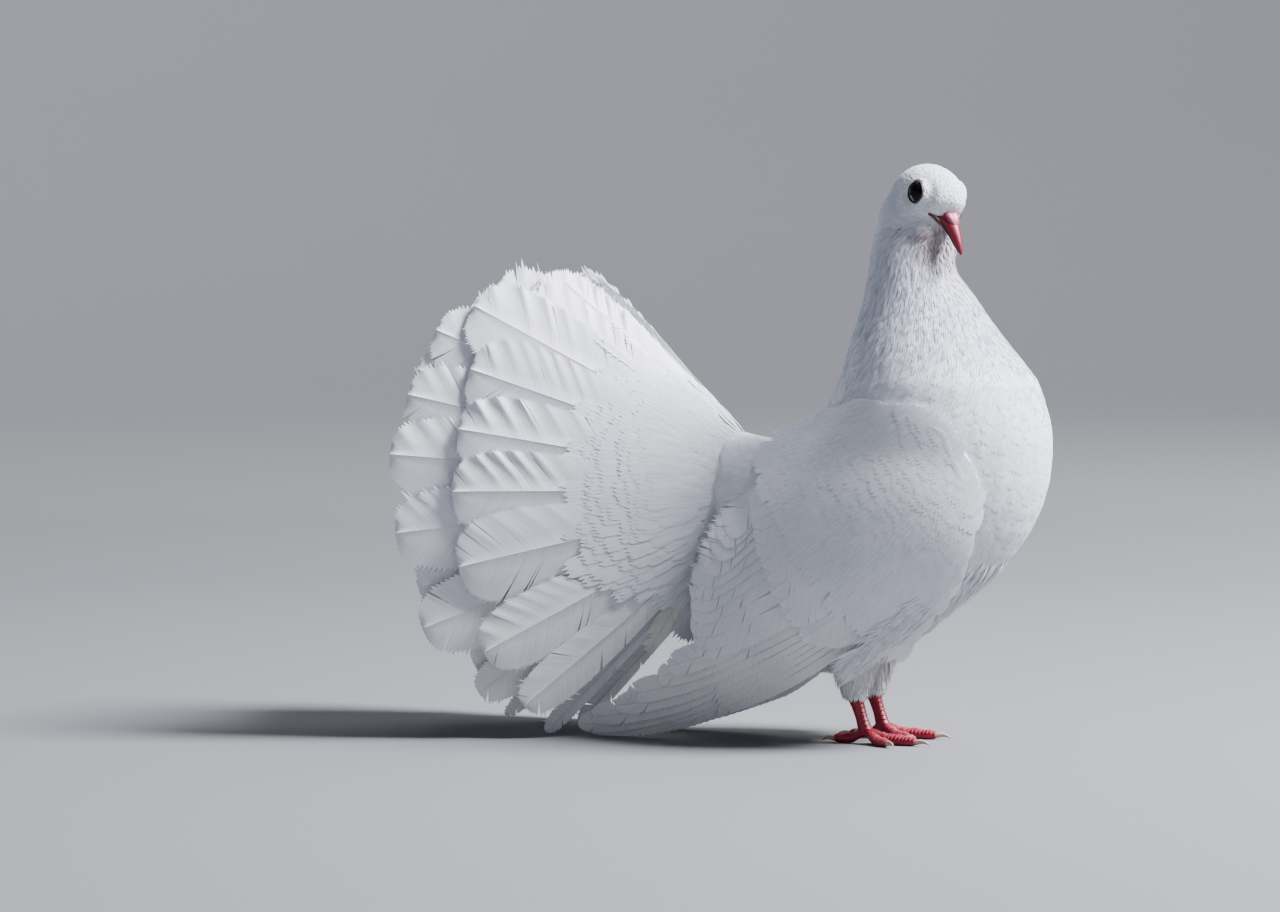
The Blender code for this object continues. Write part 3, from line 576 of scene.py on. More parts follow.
def wing_grid(side):
    """The sheet and its outward normals, worked out once on a grid."""
    turn = ((WING_SLOPE - WING_END_SLOPE[side])
            / (WING_LENGTH - WING_BEND_START))
    p, q = np.meshgrid(GRID_P, GRID_Q, indexing="ij")
    straight = np.minimum(p, WING_BEND_START)
    slope = WING_SLOPE - turn * np.maximum(p - WING_BEND_START, 0.0)
    x = (WING_ORIGIN[0] - straight * math.cos(WING_SLOPE)
         - (math.sin(WING_SLOPE) - np.sin(slope)) / turn)
    z = (WING_ORIGIN[1] - straight * math.sin(WING_SLOPE)
         - (np.cos(slope) - math.cos(WING_SLOPE)) / turn)
    rows = np.array([row_at(WING_ROWS, max(value, WING_FIRST))
                     for value in GRID_P])
    low, high = rows[:, 1:2], rows[:, 2:3]
    out_low, out_mid, out_high = (rows[:, k:k + 1] for k in (3, 4, 5))
    v = np.clip((q - low) / np.maximum(high - low, 1.0), *SHEET_PAST)
    bow = out_mid - 0.5 * (out_low + out_high)
    out = out_low + (out_high - out_low) * v + 4.0 * bow * v * (1.0 - v)
    x = x - q * np.sin(slope)
    z = z + q * np.cos(slope)
    body = body_half_width(x, z) + WING_CLEARANCE
    out = 0.5 * (out + body + np.hypot(out - body, 2.0))
    points = np.stack([x, out * SIDES[side], z], -1)
    normals = unit(np.cross(np.gradient(points, axis=0),
                            np.gradient(points, axis=1)))
    normals *= np.sign(normals[..., 1:2]) * SIDES[side]
    return points, normals


WING_GRIDS = {side: wing_grid(side) for side in SIDES}


def wing_place(side, p, q, height):
    """Points on the wing's sheet, or off it by a height."""
    points, normals = WING_GRIDS[side]
    if side == "left":
        # The far wing is drawn up a little under the breast's feathers.
        tucked = fade(p, 22.0, 50.0) * (1.0 - fade(p, 105.0, 150.0))
        q = q + 9.0 * tucked * fade(-q, 0.0, 20.0)
    a = np.clip((p - GRID_P[0]) / GRID_STEP, 0.0, len(GRID_P) - 1.001)
    b = np.clip((q - GRID_Q[0]) / GRID_STEP, 0.0, len(GRID_Q) - 1.001)
    i, j = a.astype(int), b.astype(int)
    f, g = (a - i)[..., None], (b - j)[..., None]

    def between(grid):
        return ((grid[i, j] * (1 - f) + grid[i + 1, j] * f) * (1 - g)
                + (grid[i, j + 1] * (1 - f) + grid[i + 1, j + 1] * f) * g)

    return between(points) + unit(between(normals)) * height[..., None]


# The tail's arched fan, as the solids have it. Its arch angle is 0 at the
# top centre and 180 at the bottom centre.
FAN_ROOT = np.array([-59.1, 0.0, 109.8])
FAN_ROOT_WIDE = 13.0
FAN_ROOT_ABOVE = 26.0
FAN_ROOT_BELOW = 19.0
FAN_SPREAD = 0.42
FAN_RISE_ABOVE = 0.71
FAN_RISE_BELOW = 0.85
FAN_DROP = 0.046
FAN_LENGTH = 150.0
FAN_CROWN_SHORT = 64.0
FAN_CROWN_ARCH = 60.0
FAN_CROWN_POWER = 1.3
FAN_FOOT_SHORT = 18.0
FAN_FOOT_ARCH = 100.0
FAN_LOWEST = 135.0
FAN_HIGHEST = 10.0
FAN_HALF_WIDTH = 21.0
# How far each vane leans over the next, and where it leaves its root.
FAN_LEAN = 6.0
FAN_VANE_ROOT = 12.0
# The outer row ends short of the inner rows along the middle of the fan.
OUTER_SHORT = 0.13


def fan_direction(side, arch):
    """The way that the fan's feather at an arch angle points."""
    angle = math.radians(arch)
    y = FAN_SPREAD * math.sin(angle)
    rise = FAN_RISE_ABOVE if arch < 90.0 else FAN_RISE_BELOW
    z = rise * math.cos(angle) - FAN_DROP
    return np.array([-math.sqrt(1.0 - y * y - z * z), y * SIDES[side], z])


def fan_root(side, arch):
    """Where the fan's feather at an arch angle starts."""
    angle = math.radians(arch)
    high = FAN_ROOT_ABOVE if arch < 90.0 else FAN_ROOT_BELOW
    return FAN_ROOT + np.array([
        0.0, FAN_ROOT_WIDE * math.sin(angle) * SIDES[side],
        high * math.cos(angle)])


def fan_axes(side, arch):
    """Directions along a tail feather, across it, and out from the fan."""
    along = fan_direction(side, arch)
    step = fan_direction(side, arch + 2.0) - fan_direction(side, arch - 2.0)
    normal = unit(np.cross(along, step))
    if normal @ np.array([0.6, SIDES[side], 0.4]) < 0.0:
        normal = -normal
    across = unit(step - along * (step @ along))
    return along, across, normal


def fan_length(arch):
    """How far the fan reaches: less at the crown and at the foot."""
    short = max(0.0, FAN_CROWN_ARCH - arch) / FAN_CROWN_ARCH
    foot = max(0.0, arch - FAN_FOOT_ARCH) / (FAN_LOWEST - FAN_FOOT_ARCH)
    return (FAN_LENGTH - FAN_CROWN_SHORT * short ** FAN_CROWN_POWER
            - FAN_FOOT_SHORT * foot)


# Skin


def cad_copy(name):
    """A merged copy of a CAD node's mesh, grown to close the gaps."""
    item = bpy.data.objects.new("skin_" + name, NODES[name].data.copy())
    bpy.context.scene.collection.objects.link(item)
    item.data.materials.clear()
    pick(item)
    bpy.ops.object.mode_set(mode="EDIT")
    bpy.ops.mesh.select_all(action="SELECT")
    bpy.ops.mesh.remove_doubles(threshold=WELD)
    bpy.ops.mesh.normals_make_consistent(inside=False)
    bpy.ops.object.mode_set(mode="OBJECT")
    apply_modifier(item, "DISPLACE", strength=GAP_GROWTH, mid_level=0.0)
    return item


def tail_cushion():
    """Flesh at the root of the tail, from its base out under the coverts."""
    rings = []
    for radius, swell in ((-6.0, -3.0), (4.0, -2.0), (14.0, 0.0),
                          (26.0, -0.5), (38.0, -2.5), (47.0, -5.0)):
        ring = []
        for side, arches in (("right", range(0, 181, 9)),
                             ("left", range(171, 0, -9))):
            for arch in arches:
                along, _, normal = fan_axes(side, float(arch))
                below = max(0.0, arch - FAN_LOWEST) / 45.0
                ring.append(fan_root(side, arch)
                            + along * radius * (1.0 - 0.35 * below)
                            + normal * swell)
        rings.append(ring)
    return loft("tail_cushion", rings, SKIN)


def head_axes_of(points):
    """Points in the head's own axes: forward, to its left, up."""
    turn = np.array(Matrix.Rotation(-HEAD_YAW, 3, "Z"))
    return (points - np.array(HEAD_CENTRE)) @ turn.T


def eye_polar(side, points):
    """How far points stand out along an eye's look, and off its axis."""
    look = np.array(eye_axes(side)[0])
    offset = points - np.array(eye_centre(side))
    height = offset @ look
    off = np.linalg.norm(offset - height[:, None] * look, axis=1)
    return height, off


# How far off an eye's axis its bare socket reaches, how much further it
# does at the top, and how deep below the ball's surface it is sunk.
SOCKET_HALF = 4.75
SOCKET_PEAK = 0.9
SOCKET_DEPTH = 0.7


def eye_opening(side, points):
    """How wide the socket is in each point's direction: more at the top."""
    look, _, upright = (np.array(v) for v in eye_axes(side))
    offset = points - np.array(eye_centre(side))
    flat = offset - (offset @ look)[:, None] * look
    rise = (flat @ upright) / np.maximum(np.linalg.norm(flat, axis=1), 0.01)
    return SOCKET_HALF + SOCKET_PEAK * np.maximum(rise, 0.0) ** 5


def shape_head(skin):
    """Fill out the forehead and cheeks, and sink a socket for each eye."""
    mesh = skin.data
    points = mesh_points(skin)
    own = head_axes_of(points)
    front = (fade(own[:, 0], 0.0, 11.0) * fade(own[:, 2], -6.0, 1.0)
             * (1.0 - fade(own[:, 2], 9.0, 16.0)))
    for side in SIDES:
        height, off = eye_polar(side, points)
        front = front * np.where(height > 0.0, fade(off, 6.5, 12.0), 1.0)
    sides = fade(np.abs(own[:, 1]), 2.0, 9.0)
    puff = np.stack([0.4 * front, np.sign(own[:, 1]) * front * sides * 1.5,
                     np.zeros(len(points))], 1)
    cheek = np.linalg.norm((own - (9.5, 0.0, -11.5)) * (1.0, 0.0, 1.0),
                           axis=1)
    cheek = (1.0 - fade(cheek, 1.5, 6.5)) * fade(np.abs(own[:, 1]), 2.0, 6.0)
    puff[:, 1] += np.sign(own[:, 1]) * cheek * 0.8
    puff[:, 0] += cheek
    turn = np.array(Matrix.Rotation(HEAD_YAW, 3, "Z"))
    points = points + puff @ turn.T
    for side in SIDES:
        look = np.array(eye_axes(side)[0])
        height, off = eye_polar(side, points)
        ball = np.sqrt(EYE_RADIUS ** 2 - np.minimum(off, 6.5) ** 2)
        edge = eye_opening(side, points)
        sunk = np.maximum(height - ball + SOCKET_DEPTH, 0.0) * (off < edge)
        limit = ball + 0.35 + 9.0 * fade(off, 5.2, 9.0)
        sunk = np.where(off >= edge, np.maximum(height - limit, 0.0), sunk)
        rim = ball + 0.3 - 1.5 * np.maximum(off - 6.5, 0.0)
        raised = np.maximum(rim - height, 0.0) * (off >= edge)
        near = (height > 0.0) & (off < 9.0)
        shift = np.where(near, raised - sunk, 0.0)
        points = points + shift[:, None] * look
    mesh.vertices.foreach_set("co", to_frame(points).ravel())
    mesh.update()
    smooth_temples(skin, points)


def smooth_temples(skin, points):
    """Smooth the skin between each eye's rim and the forehead."""
    temple = skin.vertex_groups.new(name="temple")
    share = np.zeros(len(points))
    for side in SIDES:
        height, off = eye_polar(side, points)
        band = fade(off, 6.0, 7.4) * (1.0 - fade(off, 11.0, 15.0))
        share = np.maximum(share, band * (height > -4.0))
    for index in np.flatnonzero(share > 0.02):
        temple.add([int(index)], float(share[index]), "REPLACE")
    apply_modifier(skin, "SMOOTH", factor=0.5, iterations=14,
                   vertex_group="temple")


def make_skin():
    """One skin over all the flesh, inside the solids by the coat's depth."""
    flesh = ["head", "neck", "torso", "tail_base", "thigh_right",
             "thigh_left"]
    filled = flesh + ["eye_right", "eye_left"]
    parts = [cad_copy(name) for name in filled] + [tail_cushion()]
    # The cushion rides the bird already, and the joined skin will in turn.
    parts[-1].parent = None
    skin = join(parts, "downy_skin")
    apply_modifier(skin, "REMESH", mode="VOXEL", voxel_size=SKIN_VOXEL)
    apply_modifier(skin, "SMOOTH", factor=0.5, iterations=10)
    apply_modifier(skin, "DISPLACE", strength=-COAT_DEPTH, mid_level=0.0)
    shape_head(skin)
    skin.data.materials.clear()
    skin.data.materials.append(SKIN)
    pick(skin)
    bpy.ops.object.shade_smooth()
    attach(skin, "root")
    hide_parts(*flesh)
    pick(skin)
    bpy.ops.object.mode_set(mode="EDIT")
    bpy.ops.mesh.select_all(action="SELECT")
    bpy.ops.uv.smart_project(angle_limit=math.radians(66.0),
                             island_margin=0.004)
    bpy.ops.object.mode_set(mode="OBJECT")
    skin.data.uv_layers[0].name = "OFBake"
    return skin


def markings(points):
    """The bird's tints as a factor on white, at points of its frame.

    The nape, the neck in part and the crease under the head carry painted
    shade.
    """
    x, y, z = points[:, 0], points[:, 1], points[:, 2]
    colour = np.ones((len(points), 3))

    def wash(share, tone):
        nonlocal colour
        share = np.clip(share, 0.0, 1.0)[:, None]
        colour = colour * (1.0 - share) + colour * np.array(tone) * share

    throat = np.array(head_point(10.0, 0.0, -21.0))
    near = np.linalg.norm((points - throat) * (1.0, 0.8, 1.0), axis=1)
    wash(0.85 * (1.0 - fade(near, 4.0, 20.0)), (0.8, 0.66, 0.62))
    fold = np.stack([x - 31.0, np.abs(y) - 15.5, 1.4 * (z - 225.0)], 1)
    fold = np.linalg.norm(fold, axis=1)
    wash(0.75 * (1.0 - fade(fold, 2.0, 9.0)), (0.74, 0.62, 0.6))
    # A thin line across the front where the head meets the neck: painted shade
    # in the crease, pinkish like the throat.
    crease_shade = np.exp(-((z - 226.5) / 1.6) ** 2) * fade(x, 10.0, 26.0)
    wash(0.5 * crease_shade, (0.7, 0.62, 0.62))
    # The neck: partly the feathers' own grey-lavender, partly painted bluish
    # shade.
    neck = fade(z, 160.0, 185.0) * (1.0 - fade(z, 222.0, 236.0))
    wash(0.65 * neck, (0.87, 0.88, 0.93))
    # The back of the head and the nape: painted bluish shade.
    nape_shade = fade(z, 222.0, 236.0) * (1.0 - fade(x, 12.0, 26.0))
    wash(0.5 * nape_shade, (0.86, 0.9, 0.97))
    belly = (1.0 - fade(z, 40.0, 92.0)) * fade(x, -60.0, -20.0)
    wash(0.6 * belly, (0.95, 0.92, 0.84))
    under = (1.0 - fade(z, 70.0, 100.0)) * (1.0 - fade(x, -60.0, -30.0))
    wash(0.5 * under, (0.96, 0.93, 0.85))
    return colour


skin = make_skin()
skin_points = mesh_points(skin)
set_tint(skin, markings(skin_points))
SKIN_TREE = BVHTree.FromPolygons(
    skin_points.tolist(), [tuple(face.vertices) for face in
                           skin.data.polygons])
SKIN_NORMALS = np.empty(len(skin.data.vertices) * 3)
skin.data.vertices.foreach_get("normal", SKIN_NORMALS)
SKIN_NORMALS = SKIN_NORMALS.reshape(-1, 3)

# Feathers


def closed_faces(faces, count):
    """Faces of a thin solid: the sheet, its underside and the rim."""
    edges = {}
    for face in faces:
        for a, b in zip(face, face[1:] + face[:1]):
            edges[(a, b)] = True
    result = list(faces)
    result += [tuple(count + v for v in reversed(face)) for face in faces]
    for a, b in edges:
        if (b, a) not in edges:
            result.append((b, a, a + count, b + count))
    return result


def bake_patch(spots):
    """A tuft's own small patch on the bake map, about its root's place."""
    return np.stack([spots[:, 1] * (BAKE_PATCH / 2),
                     (spots[:, 0] - 0.5) * BAKE_PATCH], 1)


class Coat:
    """Gathers many thin feathers into one mesh, with tints and maps."""

    def __init__(self):
        self.points = []
        self.faces = []
        self.tints = []
        self.vane = []
        self.bake = []
        self.count = 0

    def take(self, tops, lows, faces, tint, vane, bake):
        """Add a feather: its two sides have the same tint and maps."""
        self.faces += [tuple(v + self.count for v in face)
                       for face in faces]
        self.points += [tops, lows]
        self.tints += [tint, tint]
        self.vane += [vane, vane]
        self.bake += [bake, bake]
        self.count += len(tops) + len(lows)

    def build(self, name, material):
        """Make the mesh object from all that was taken."""
        item = piece(name, material, np.concatenate(self.points), self.faces)
        set_tint(item, np.concatenate(self.tints))
        set_map(item, "vane", np.concatenate(self.vane))
        set_map(item, "OFBake", np.concatenate(self.bake))
        return item


def leaf_template(rows, columns, fingers):
    """A rounded small feather whose end is split into barbs.

    Returns share along, share across and camber of the upper points, and
    the faces of the closed solid.
    """
    spots = []
    faces = []
    for share, width in rows:
        for column in range(columns):
            t = -1.0 + 2.0 * column / (columns - 1)
            spots.append((share, t * width, 1.0 - t * t))
    for row in range(len(rows) - 1):
        for column in range(columns - 1):
            a = row * columns + column
            faces.append((a, a + 1, a + columns + 1, a + columns))
    base = (len(rows) - 1) * columns
    width = rows[-1][1]
    for column in range(columns - 1):
        t = -1.0 + (2.0 * column + 1.0) / (columns - 1)
        spots.append((1.0 - 0.1 * t * t + fingers[column % len(fingers)],
                      t * width * 0.84, 0.4 * (1.0 - t * t)))
        faces.append((base + column, base + column + 1, len(spots) - 1))
    return np.array(spots), closed_faces(faces, len(spots))


# A small body feather, and a narrow strand of one.
CONTOUR = leaf_template(((0.0, 0.35), (0.3, 0.8), (0.62, 1.0), (0.86, 0.9)),
                        5, (0.0, 0.03, -0.02, 0.02))
STRAND = leaf_template(((0.0, 0.5), (0.45, 1.0)), 3, (0.05, -0.08))


def scatter(spacing, keep):
    """Faces of the skin about a spacing apart, where keep says so."""
    polygons = skin.data.polygons
    centres = np.empty(len(polygons) * 3)
    polygons.foreach_get("center", centres)
    centres = to_bird(centres.reshape(-1, 3))
    normals = np.empty(len(polygons) * 3)
    polygons.foreach_get("normal", normals)
    normals = normals.reshape(-1, 3)
    order = RNG.permutation(np.flatnonzero(keep(centres, normals)))
    cells = {}
    chosen = []
    limit = spacing * spacing
    around = [(i, j, k) for i in (-1, 0, 1) for j in (-1, 0, 1)
              for k in (-1, 0, 1)]
    for index in order:
        x, y, z = centres[index]
        a, b, c = int(x // spacing), int(y // spacing), int(z // spacing)
        free = True
        for i, j, k in around:
            for px, py, pz in cells.get((a + i, b + j, c + k), ()):
                if (px - x) ** 2 + (py - y) ** 2 + (pz - z) ** 2 < limit:
                    free = False
                    break
            if not free:
                break
        if free:
            cells.setdefault((a, b, c), []).append((x, y, z))
            chosen.append(index)
    return np.array(chosen), centres, normals


def lie_of(points):
    """Which way the feathers lie: back from the bill, down and aft."""
    x, z = points[:, 0], points[:, 2]
    lie = np.tile((-0.62, 0.0, -0.78), (len(points), 1))
    neck = fade(z, 150.0, 185.0)[:, None]
    lie = lie * (1.0 - neck) + np.array((-0.12, 0.0, -1.0)) * neck
    tail = (1.0 - fade(x, -60.0, -25.0)) * fade(z, 62.0, 85.0)
    lie = lie * (1.0 - tail[:, None]) + (np.array((-1.0, 0.0, 0.0))
                                         * tail[:, None])
    root = FAN_ROOT + np.array((22.0, 0.0, 0.0))
    spread = unit((points - root) * (1.0, 1.0, 1.15))
    fan = (1.0 - fade(x, -82.0, -52.0))[:, None]
    lie = lie * (1.0 - fan) + spread * fan
    leg = (1.0 - fade(z, 38.0, 56.0)) * fade(x, -30.0, -20.0)
    lie = lie * (1.0 - leg[:, None]) + (np.array((0.0, 0.0, -1.0))
                                        * leg[:, None])
    bill = np.array(head_point(19.0, 0.0, -4.0))
    away = unit(points - bill)
    face = fade(z, 214.0, 234.0)[:, None]
    lie = lie * (1.0 - face) + away * face
    for side in SIDES:
        look = np.array(eye_axes(side)[0])
        height, off = eye_polar(side, points)
        inward = unit(np.array(eye_centre(side)) + height[:, None] * look
                      - points)
        near = (1.0 - fade(off, 8.0, 13.0)) * (height > 0.0)
        toward = np.maximum(np.sum(lie * inward, 1), 0.0) * near
        lie = lie - inward * (toward * 1.45)[:, None]
    return lie


def skin_uv_of(faces):
    """The skin map's place at the middle of each of some faces."""
    layer = skin.data.uv_layers["OFBake"]
    values = np.empty(len(skin.data.loops) * 2, np.float32)
    layer.data.foreach_get("uv", values)
    values = values.reshape(-1, 2)
    result = []
    for index in faces:
        face = skin.data.polygons[int(index)]
        start = face.loop_start
        result.append(values[start:start + face.loop_total].mean(0))
    return np.array(result)


def tufts(names, template, spacing, keep, size, lift, tone, wild=0.4):
    """Lay feathers over the skin: each point is set on the skin below it.

    The highest feathers go into the first named piece, and so on down. A
    feather that would reach off the skin is laid shorter, or left out.
    """
    spots, faces = template
    chosen, centres, normals = scatter(spacing, keep)
    roots = centres[chosen]
    out = unit(normals[chosen])
    lie = lie_of(roots)
    lie = unit(lie - out * np.sum(lie * out, 1)[:, None])
    side = np.cross(out, lie)
    throat = head_axes_of(roots) - (8.0, 0.0, -17.5)
    ruffled = 1.0 - fade(np.linalg.norm(throat * (1.0, 0.7, 1.3), axis=1),
                         4.0, 10.0)
    swing = RNG.normal(0.0, 0.12, len(roots)) * (1.0 + 3.5 * ruffled)
    swing = swing[:, None]
    lie, side = (unit(lie * np.cos(swing) + side * np.sin(swing)),
                 unit(side * np.cos(swing) - lie * np.sin(swing)))
    length, width = size(roots)
    length = length * RNG.uniform(0.85, 1.15, len(roots))
    width = width * RNG.uniform(0.85, 1.15, len(roots))
    raised = lift * RNG.uniform(1.0 - wild, 1.5 + wild, len(roots))
    raised = raised * (1.0 + 2.0 * ruffled)
    colours = markings(roots + lie * length[:, None] * 0.5)
    shade = np.abs(RNG.normal(0.0, tone, len(roots)))[:, None]
    shade *= 0.3 + 0.7 * fade(roots[:, 2:], 150.0, 185.0)
    colours = colours * (1.0 - shade * (1.0, 0.96, 0.86))
    colours = np.clip(colours, 0.0, 1.0)
    atlas = skin_uv_of(chosen)
    count = len(spots)
    order = np.argsort(-roots[:, 2])
    for name, group in zip(names, np.array_split(order, len(names))):
        coat = Coat()
        for i in group:
            found = None
            for reach in (length[i], 0.6 * length[i], 0.35 * length[i]):
                flat = (roots[i] + np.outer(spots[:, 0] * reach, lie[i])
                        + np.outer(spots[:, 1] * width[i], side[i]))
                hits = [SKIN_TREE.find_nearest(Vector(point))
                        for point in flat]
                facing = min(hit[1].dot(Vector(out[i])) for hit in hits)
                if facing > 0.2 and hits[-1][3] < 0.3 * reach + 0.4:
                    found = hits
                    break
            if found is None:
                continue
            near = np.array([hit[0] for hit in found])
            up = np.array([hit[1] for hit in found])
            height = (0.1 + raised[i] * spots[:, 0]
                      + TUFT_CAMBER * width[i] * spots[:, 2])
            height = np.where(spots[:, 0] == 0.0, -0.3, height)[:, None]
            vane = np.stack([spots[:, 1] * width[i] + i * 7.3,
                             spots[:, 0] * length[i]], 1) * MM
            coat.take(near + up * height,
                      near + up * (height - TUFT_THICK), faces,
                      np.repeat(colours[i][None], count, 0), vane,
                      atlas[i] + bake_patch(spots))
        coat.build(name, PLUMAGE)


# How narrow a long feather is at its root, and how its barbs slant.
VANE_WAIST = 0.26
BARB_SLANT = 0.8


def outline(half_width, barbs, tip_share, tip_power):
    """Points down one edge of a feather: share along, distance across."""
    body = max(3, int(barbs * 0.7))
    tip = barbs - body
    start = 0.1
    shoulder = 1.0 - tip_share
    a = start + (shoulder - start) * np.arange(body) / body
    rise = fade(a, -0.1, shoulder)
    wide = half_width * (VANE_WAIST + (1.0 - VANE_WAIST) * rise)
    theta = np.linspace(0.0, math.pi / 2, tip + 1)
    a = np.concatenate([a, shoulder + tip_share * np.sin(theta)])
    wide = np.concatenate([wide, half_width * np.cos(theta) ** tip_power])
    return a, wide


# Shares of the way from the shaft out to a long feather's edge.
VANE_STATIONS = (0.0, 0.03, 0.3, 0.62, 0.93)


def feather_sheet(length, left, right, barbs, tip_share, draw, *, ripple,
                  fringe, splits, camber, rachis, ripple_side=1, wave=9.0,
                  tip_power=0.8, fray=0.0):
    """One large feather as a thin sheet of barbs either side of its shaft.

    Gives points as distance along, across and height, the faces, and a map
    whose first value grows along the shaft, so its lines are the barbs. A
    rippled vane has sharp crests and wide troughs that follow the barbs.
    """
    points = []
    faces = []
    vane = []
    phase = draw.uniform(0.0, math.pi)
    for sign, half in ((-1, left), (1, right)):
        a, wide = outline(half, barbs, tip_share, tip_power)
        root = np.maximum(a - BARB_SLANT * wide / length, 0.0)
        root[0] = max(root[0], 0.02)
        root = np.maximum.accumulate(root + np.arange(len(a)) * 1e-5)
        cuts = {int(draw.uniform(0.4, 0.97) * barbs) for _ in range(splits)}
        rows = []
        start = draw.uniform(0.34, 0.56)
        drift = draw.uniform(0.0, 6.28)
        for i in range(len(a)):
            turn_at = math.pi * a[i] * length / wave * (0.75 + 0.4 * a[i])
            turn_at += 0.9 * math.sin(7.0 * a[i] + drift)
            swell = 1.0 - 2.0 * abs(math.sin(turn_at + phase)) ** 0.75
            grow = float(fade(a[i], start, start + 0.4))
            grow *= 0.65 + 0.35 * math.sin(11.0 * a[i] + 2.0 * drift)
            made = []
            for turn in (-1.0, 1.0) if i in cuts else (0.0,):
                row = []
                for v in VANE_STATIONS:
                    along = (root[i] + (a[i] - root[i]) * v ** 1.15) * length
                    along += turn * v * v * draw.uniform(0.3, 1.1)
                    height = -camber * half * v * v
                    height += rachis * (1.0 - 0.75 * a[i]) * (v == 0.0)
                    share = 1.0 if sign == ripple_side else 0.15
                    height += ripple * share * grow * v ** 1.4 * swell
                    row.append(len(points))
                    points.append((along, sign * wide[i] * v, height))
                    vane.append((root[i] * length, v * wide[i]))
                made.append(row)
            rows.append(made)
        for i in range(len(rows) - 1):
            low, high = rows[i][-1], rows[i + 1][0]
            for k in range(len(VANE_STATIONS) - 1):
                quad = (low[k], low[k + 1], high[k + 1], high[k])
                faces.append(quad if sign < 0 else quad[::-1])
            middle = 0.5 * (np.array(points[low[-1]])
                            + np.array(points[high[-1]]))
            inner = 0.5 * (np.array(points[low[-2]])
                           + np.array(points[high[-2]]))
            worn = fringe + fray * float(fade(a[i], 0.8, 1.0))
            reach = 0.2 + abs(draw.gauss(0.0, worn)) * 5.0
            points.append(tuple(middle + (middle - inner) * reach))
            vane.append((vane[low[-1]][0], wide[i]))
            tri = (low[-1], len(points) - 1, high[-1])
            faces.append(tri if sign < 0 else tri[::-1])
    return np.array(points), faces, np.array(vane)


def merge_shaft(points, faces, vane):
    """Join the two sides of a feather along its shaft."""
    keys = {}
    swap = {}
    for index, (along, across, _) in enumerate(points):
        if abs(across) < 1e-9:
            key = round(float(along), 4)
            swap[index] = keys.setdefault(key, index)
    faces = [tuple(swap.get(v, v) for v in face) for face in faces]
    used = sorted({v for face in faces for v in face})
    place = {old: new for new, old in enumerate(used)}
    faces = [tuple(place[v] for v in face) for face in faces]
    return points[used], faces, vane[used]


def add_feather(coat, sheet, place, thickness, tint, cell):
    """Set a flat feather in place as a thin closed solid."""
    points, faces, vane = sheet
    tops = place(points[:, 0], points[:, 1], points[:, 2])
    lows = place(points[:, 0], points[:, 1], points[:, 2] - thickness)
    low_corner = points[:, :2].min(0)
    span = np.maximum(points[:, :2].max(0) - low_corner, 1e-6)
    corner, size = cell
    flat = np.array(corner) + (points[:, :2] - low_corner) / span * size
    shaft = (np.abs(points[:, 1]) < 0.05)[:, None]
    tints = tint(tops) * np.where(shaft, (0.9, 0.86, 0.8), 1.0)
    coat.take(tops, lows, closed_faces(faces, len(points)), tints, vane * MM,
              flat)


def cells(count, columns):
    """Even places on a map for a number of large feathers."""
    rows = math.ceil(count / columns)
    size = np.array((0.94 / columns, 0.94 / rows))
    return [((0.02 + (k % columns) * 0.98 / columns,
              0.02 + (k // columns) * 0.98 / rows), size)
            for k in range(count)]


def blend(values, share):
    """The parabola through three values at the start, middle and end."""
    first, middle, last = values
    return (first * (1 - share) * (1 - 2 * share)
            + 4 * middle * share * (1 - share)
            + last * share * (2 * share - 1))


def fan_placer(side, arch, length, heights, twist):
    """Places a tail feather on the fan's surface at an arch angle."""
    along_way, across_way, normal = fan_axes(side, arch)
    root = fan_root(side, arch)
    slope = math.tan(math.radians(FAN_LEAN))

    def place(along, across, height):
        share = along / length
        height = height + blend(heights, share) - across * slope
        height = height + twist * across * share * share
        result = (root + np.outer(FAN_VANE_ROOT + along, along_way)
                  + np.outer(across, across_way) + np.outer(height, normal))
        keep = TAIL_MIDDLE_GAP + 0.1 * np.maximum(height, 0.0)
        result[:, 1] = np.maximum(result[:, 1] * SIDES[side],
                                  keep) * SIDES[side]
        result[:, 2] = np.maximum(result[:, 2], TAIL_FLOOR_GAP)
        return result

    return place


def cream_below_tint(points, low, high, most, cream):
    """White, drawn towards cream lower down, nearer the floor."""
    share = (1.0 - fade(points[:, 2], low, high))[:, None] * most
    return 1.0 - share + np.array(cream) * share


def tail_tint(points):
    """The tint of the fan's feathers at points of the bird's frame."""
    return cream_below_tint(points, 30.0, 95.0, 0.4, (0.96, 0.94, 0.86))


def wing_tint(points):
    """The tint of the wing's feathers at points of the bird's frame."""
    return cream_below_tint(points, 20.0, 75.0, 0.5, (0.96, 0.935, 0.85))


# Rows of the tail's vanes, the outermost first: count, heights at root,
# middle and tip, length, width, how far the row's ends stand in, the depth
# of its ripples, and the barbs a side.
TAIL_ROWS = (
    (9, (0.4, 1.2, 1.8), 1.0, 1.0, 0.0, 1.7, 84),
    (8, (-1.2, -2.8, -3.2), 1.045, 0.98, 0.5, 1.2, 60),
    (6, (-2.0, -5.4, -7.6), 1.02, 0.9, 0.8, 0.8, 48),
)


def tail_vane(coat, side, arch, length, half, heights, draw, cell,
              barbs, splits=3, **looks):
    """One long tail feather, its own twist and wear drawn by lot."""
    sheet = merge_shaft(*feather_sheet(
        length, half * 0.95, half, barbs, 0.2, draw,
        ripple_side=-1, splits=splits, camber=0.07, rachis=0.6,
        tip_power=0.6, **looks))
    place = fan_placer(side, arch, length, heights,
                       draw.uniform(-0.05, 0.05))
    add_feather(coat, sheet, place, TAIL_VANE_THICK, tail_tint, cell)


# How deep the fan's ripples are, of what its rows give.
RIPPLE_SHARE = 0.8
# The frayed short feathers where the halves meet: arch and share of length.
CROWN_FEATHERS = ((5.0, 0.92), (17.0, 0.97), (30.0, 0.93))
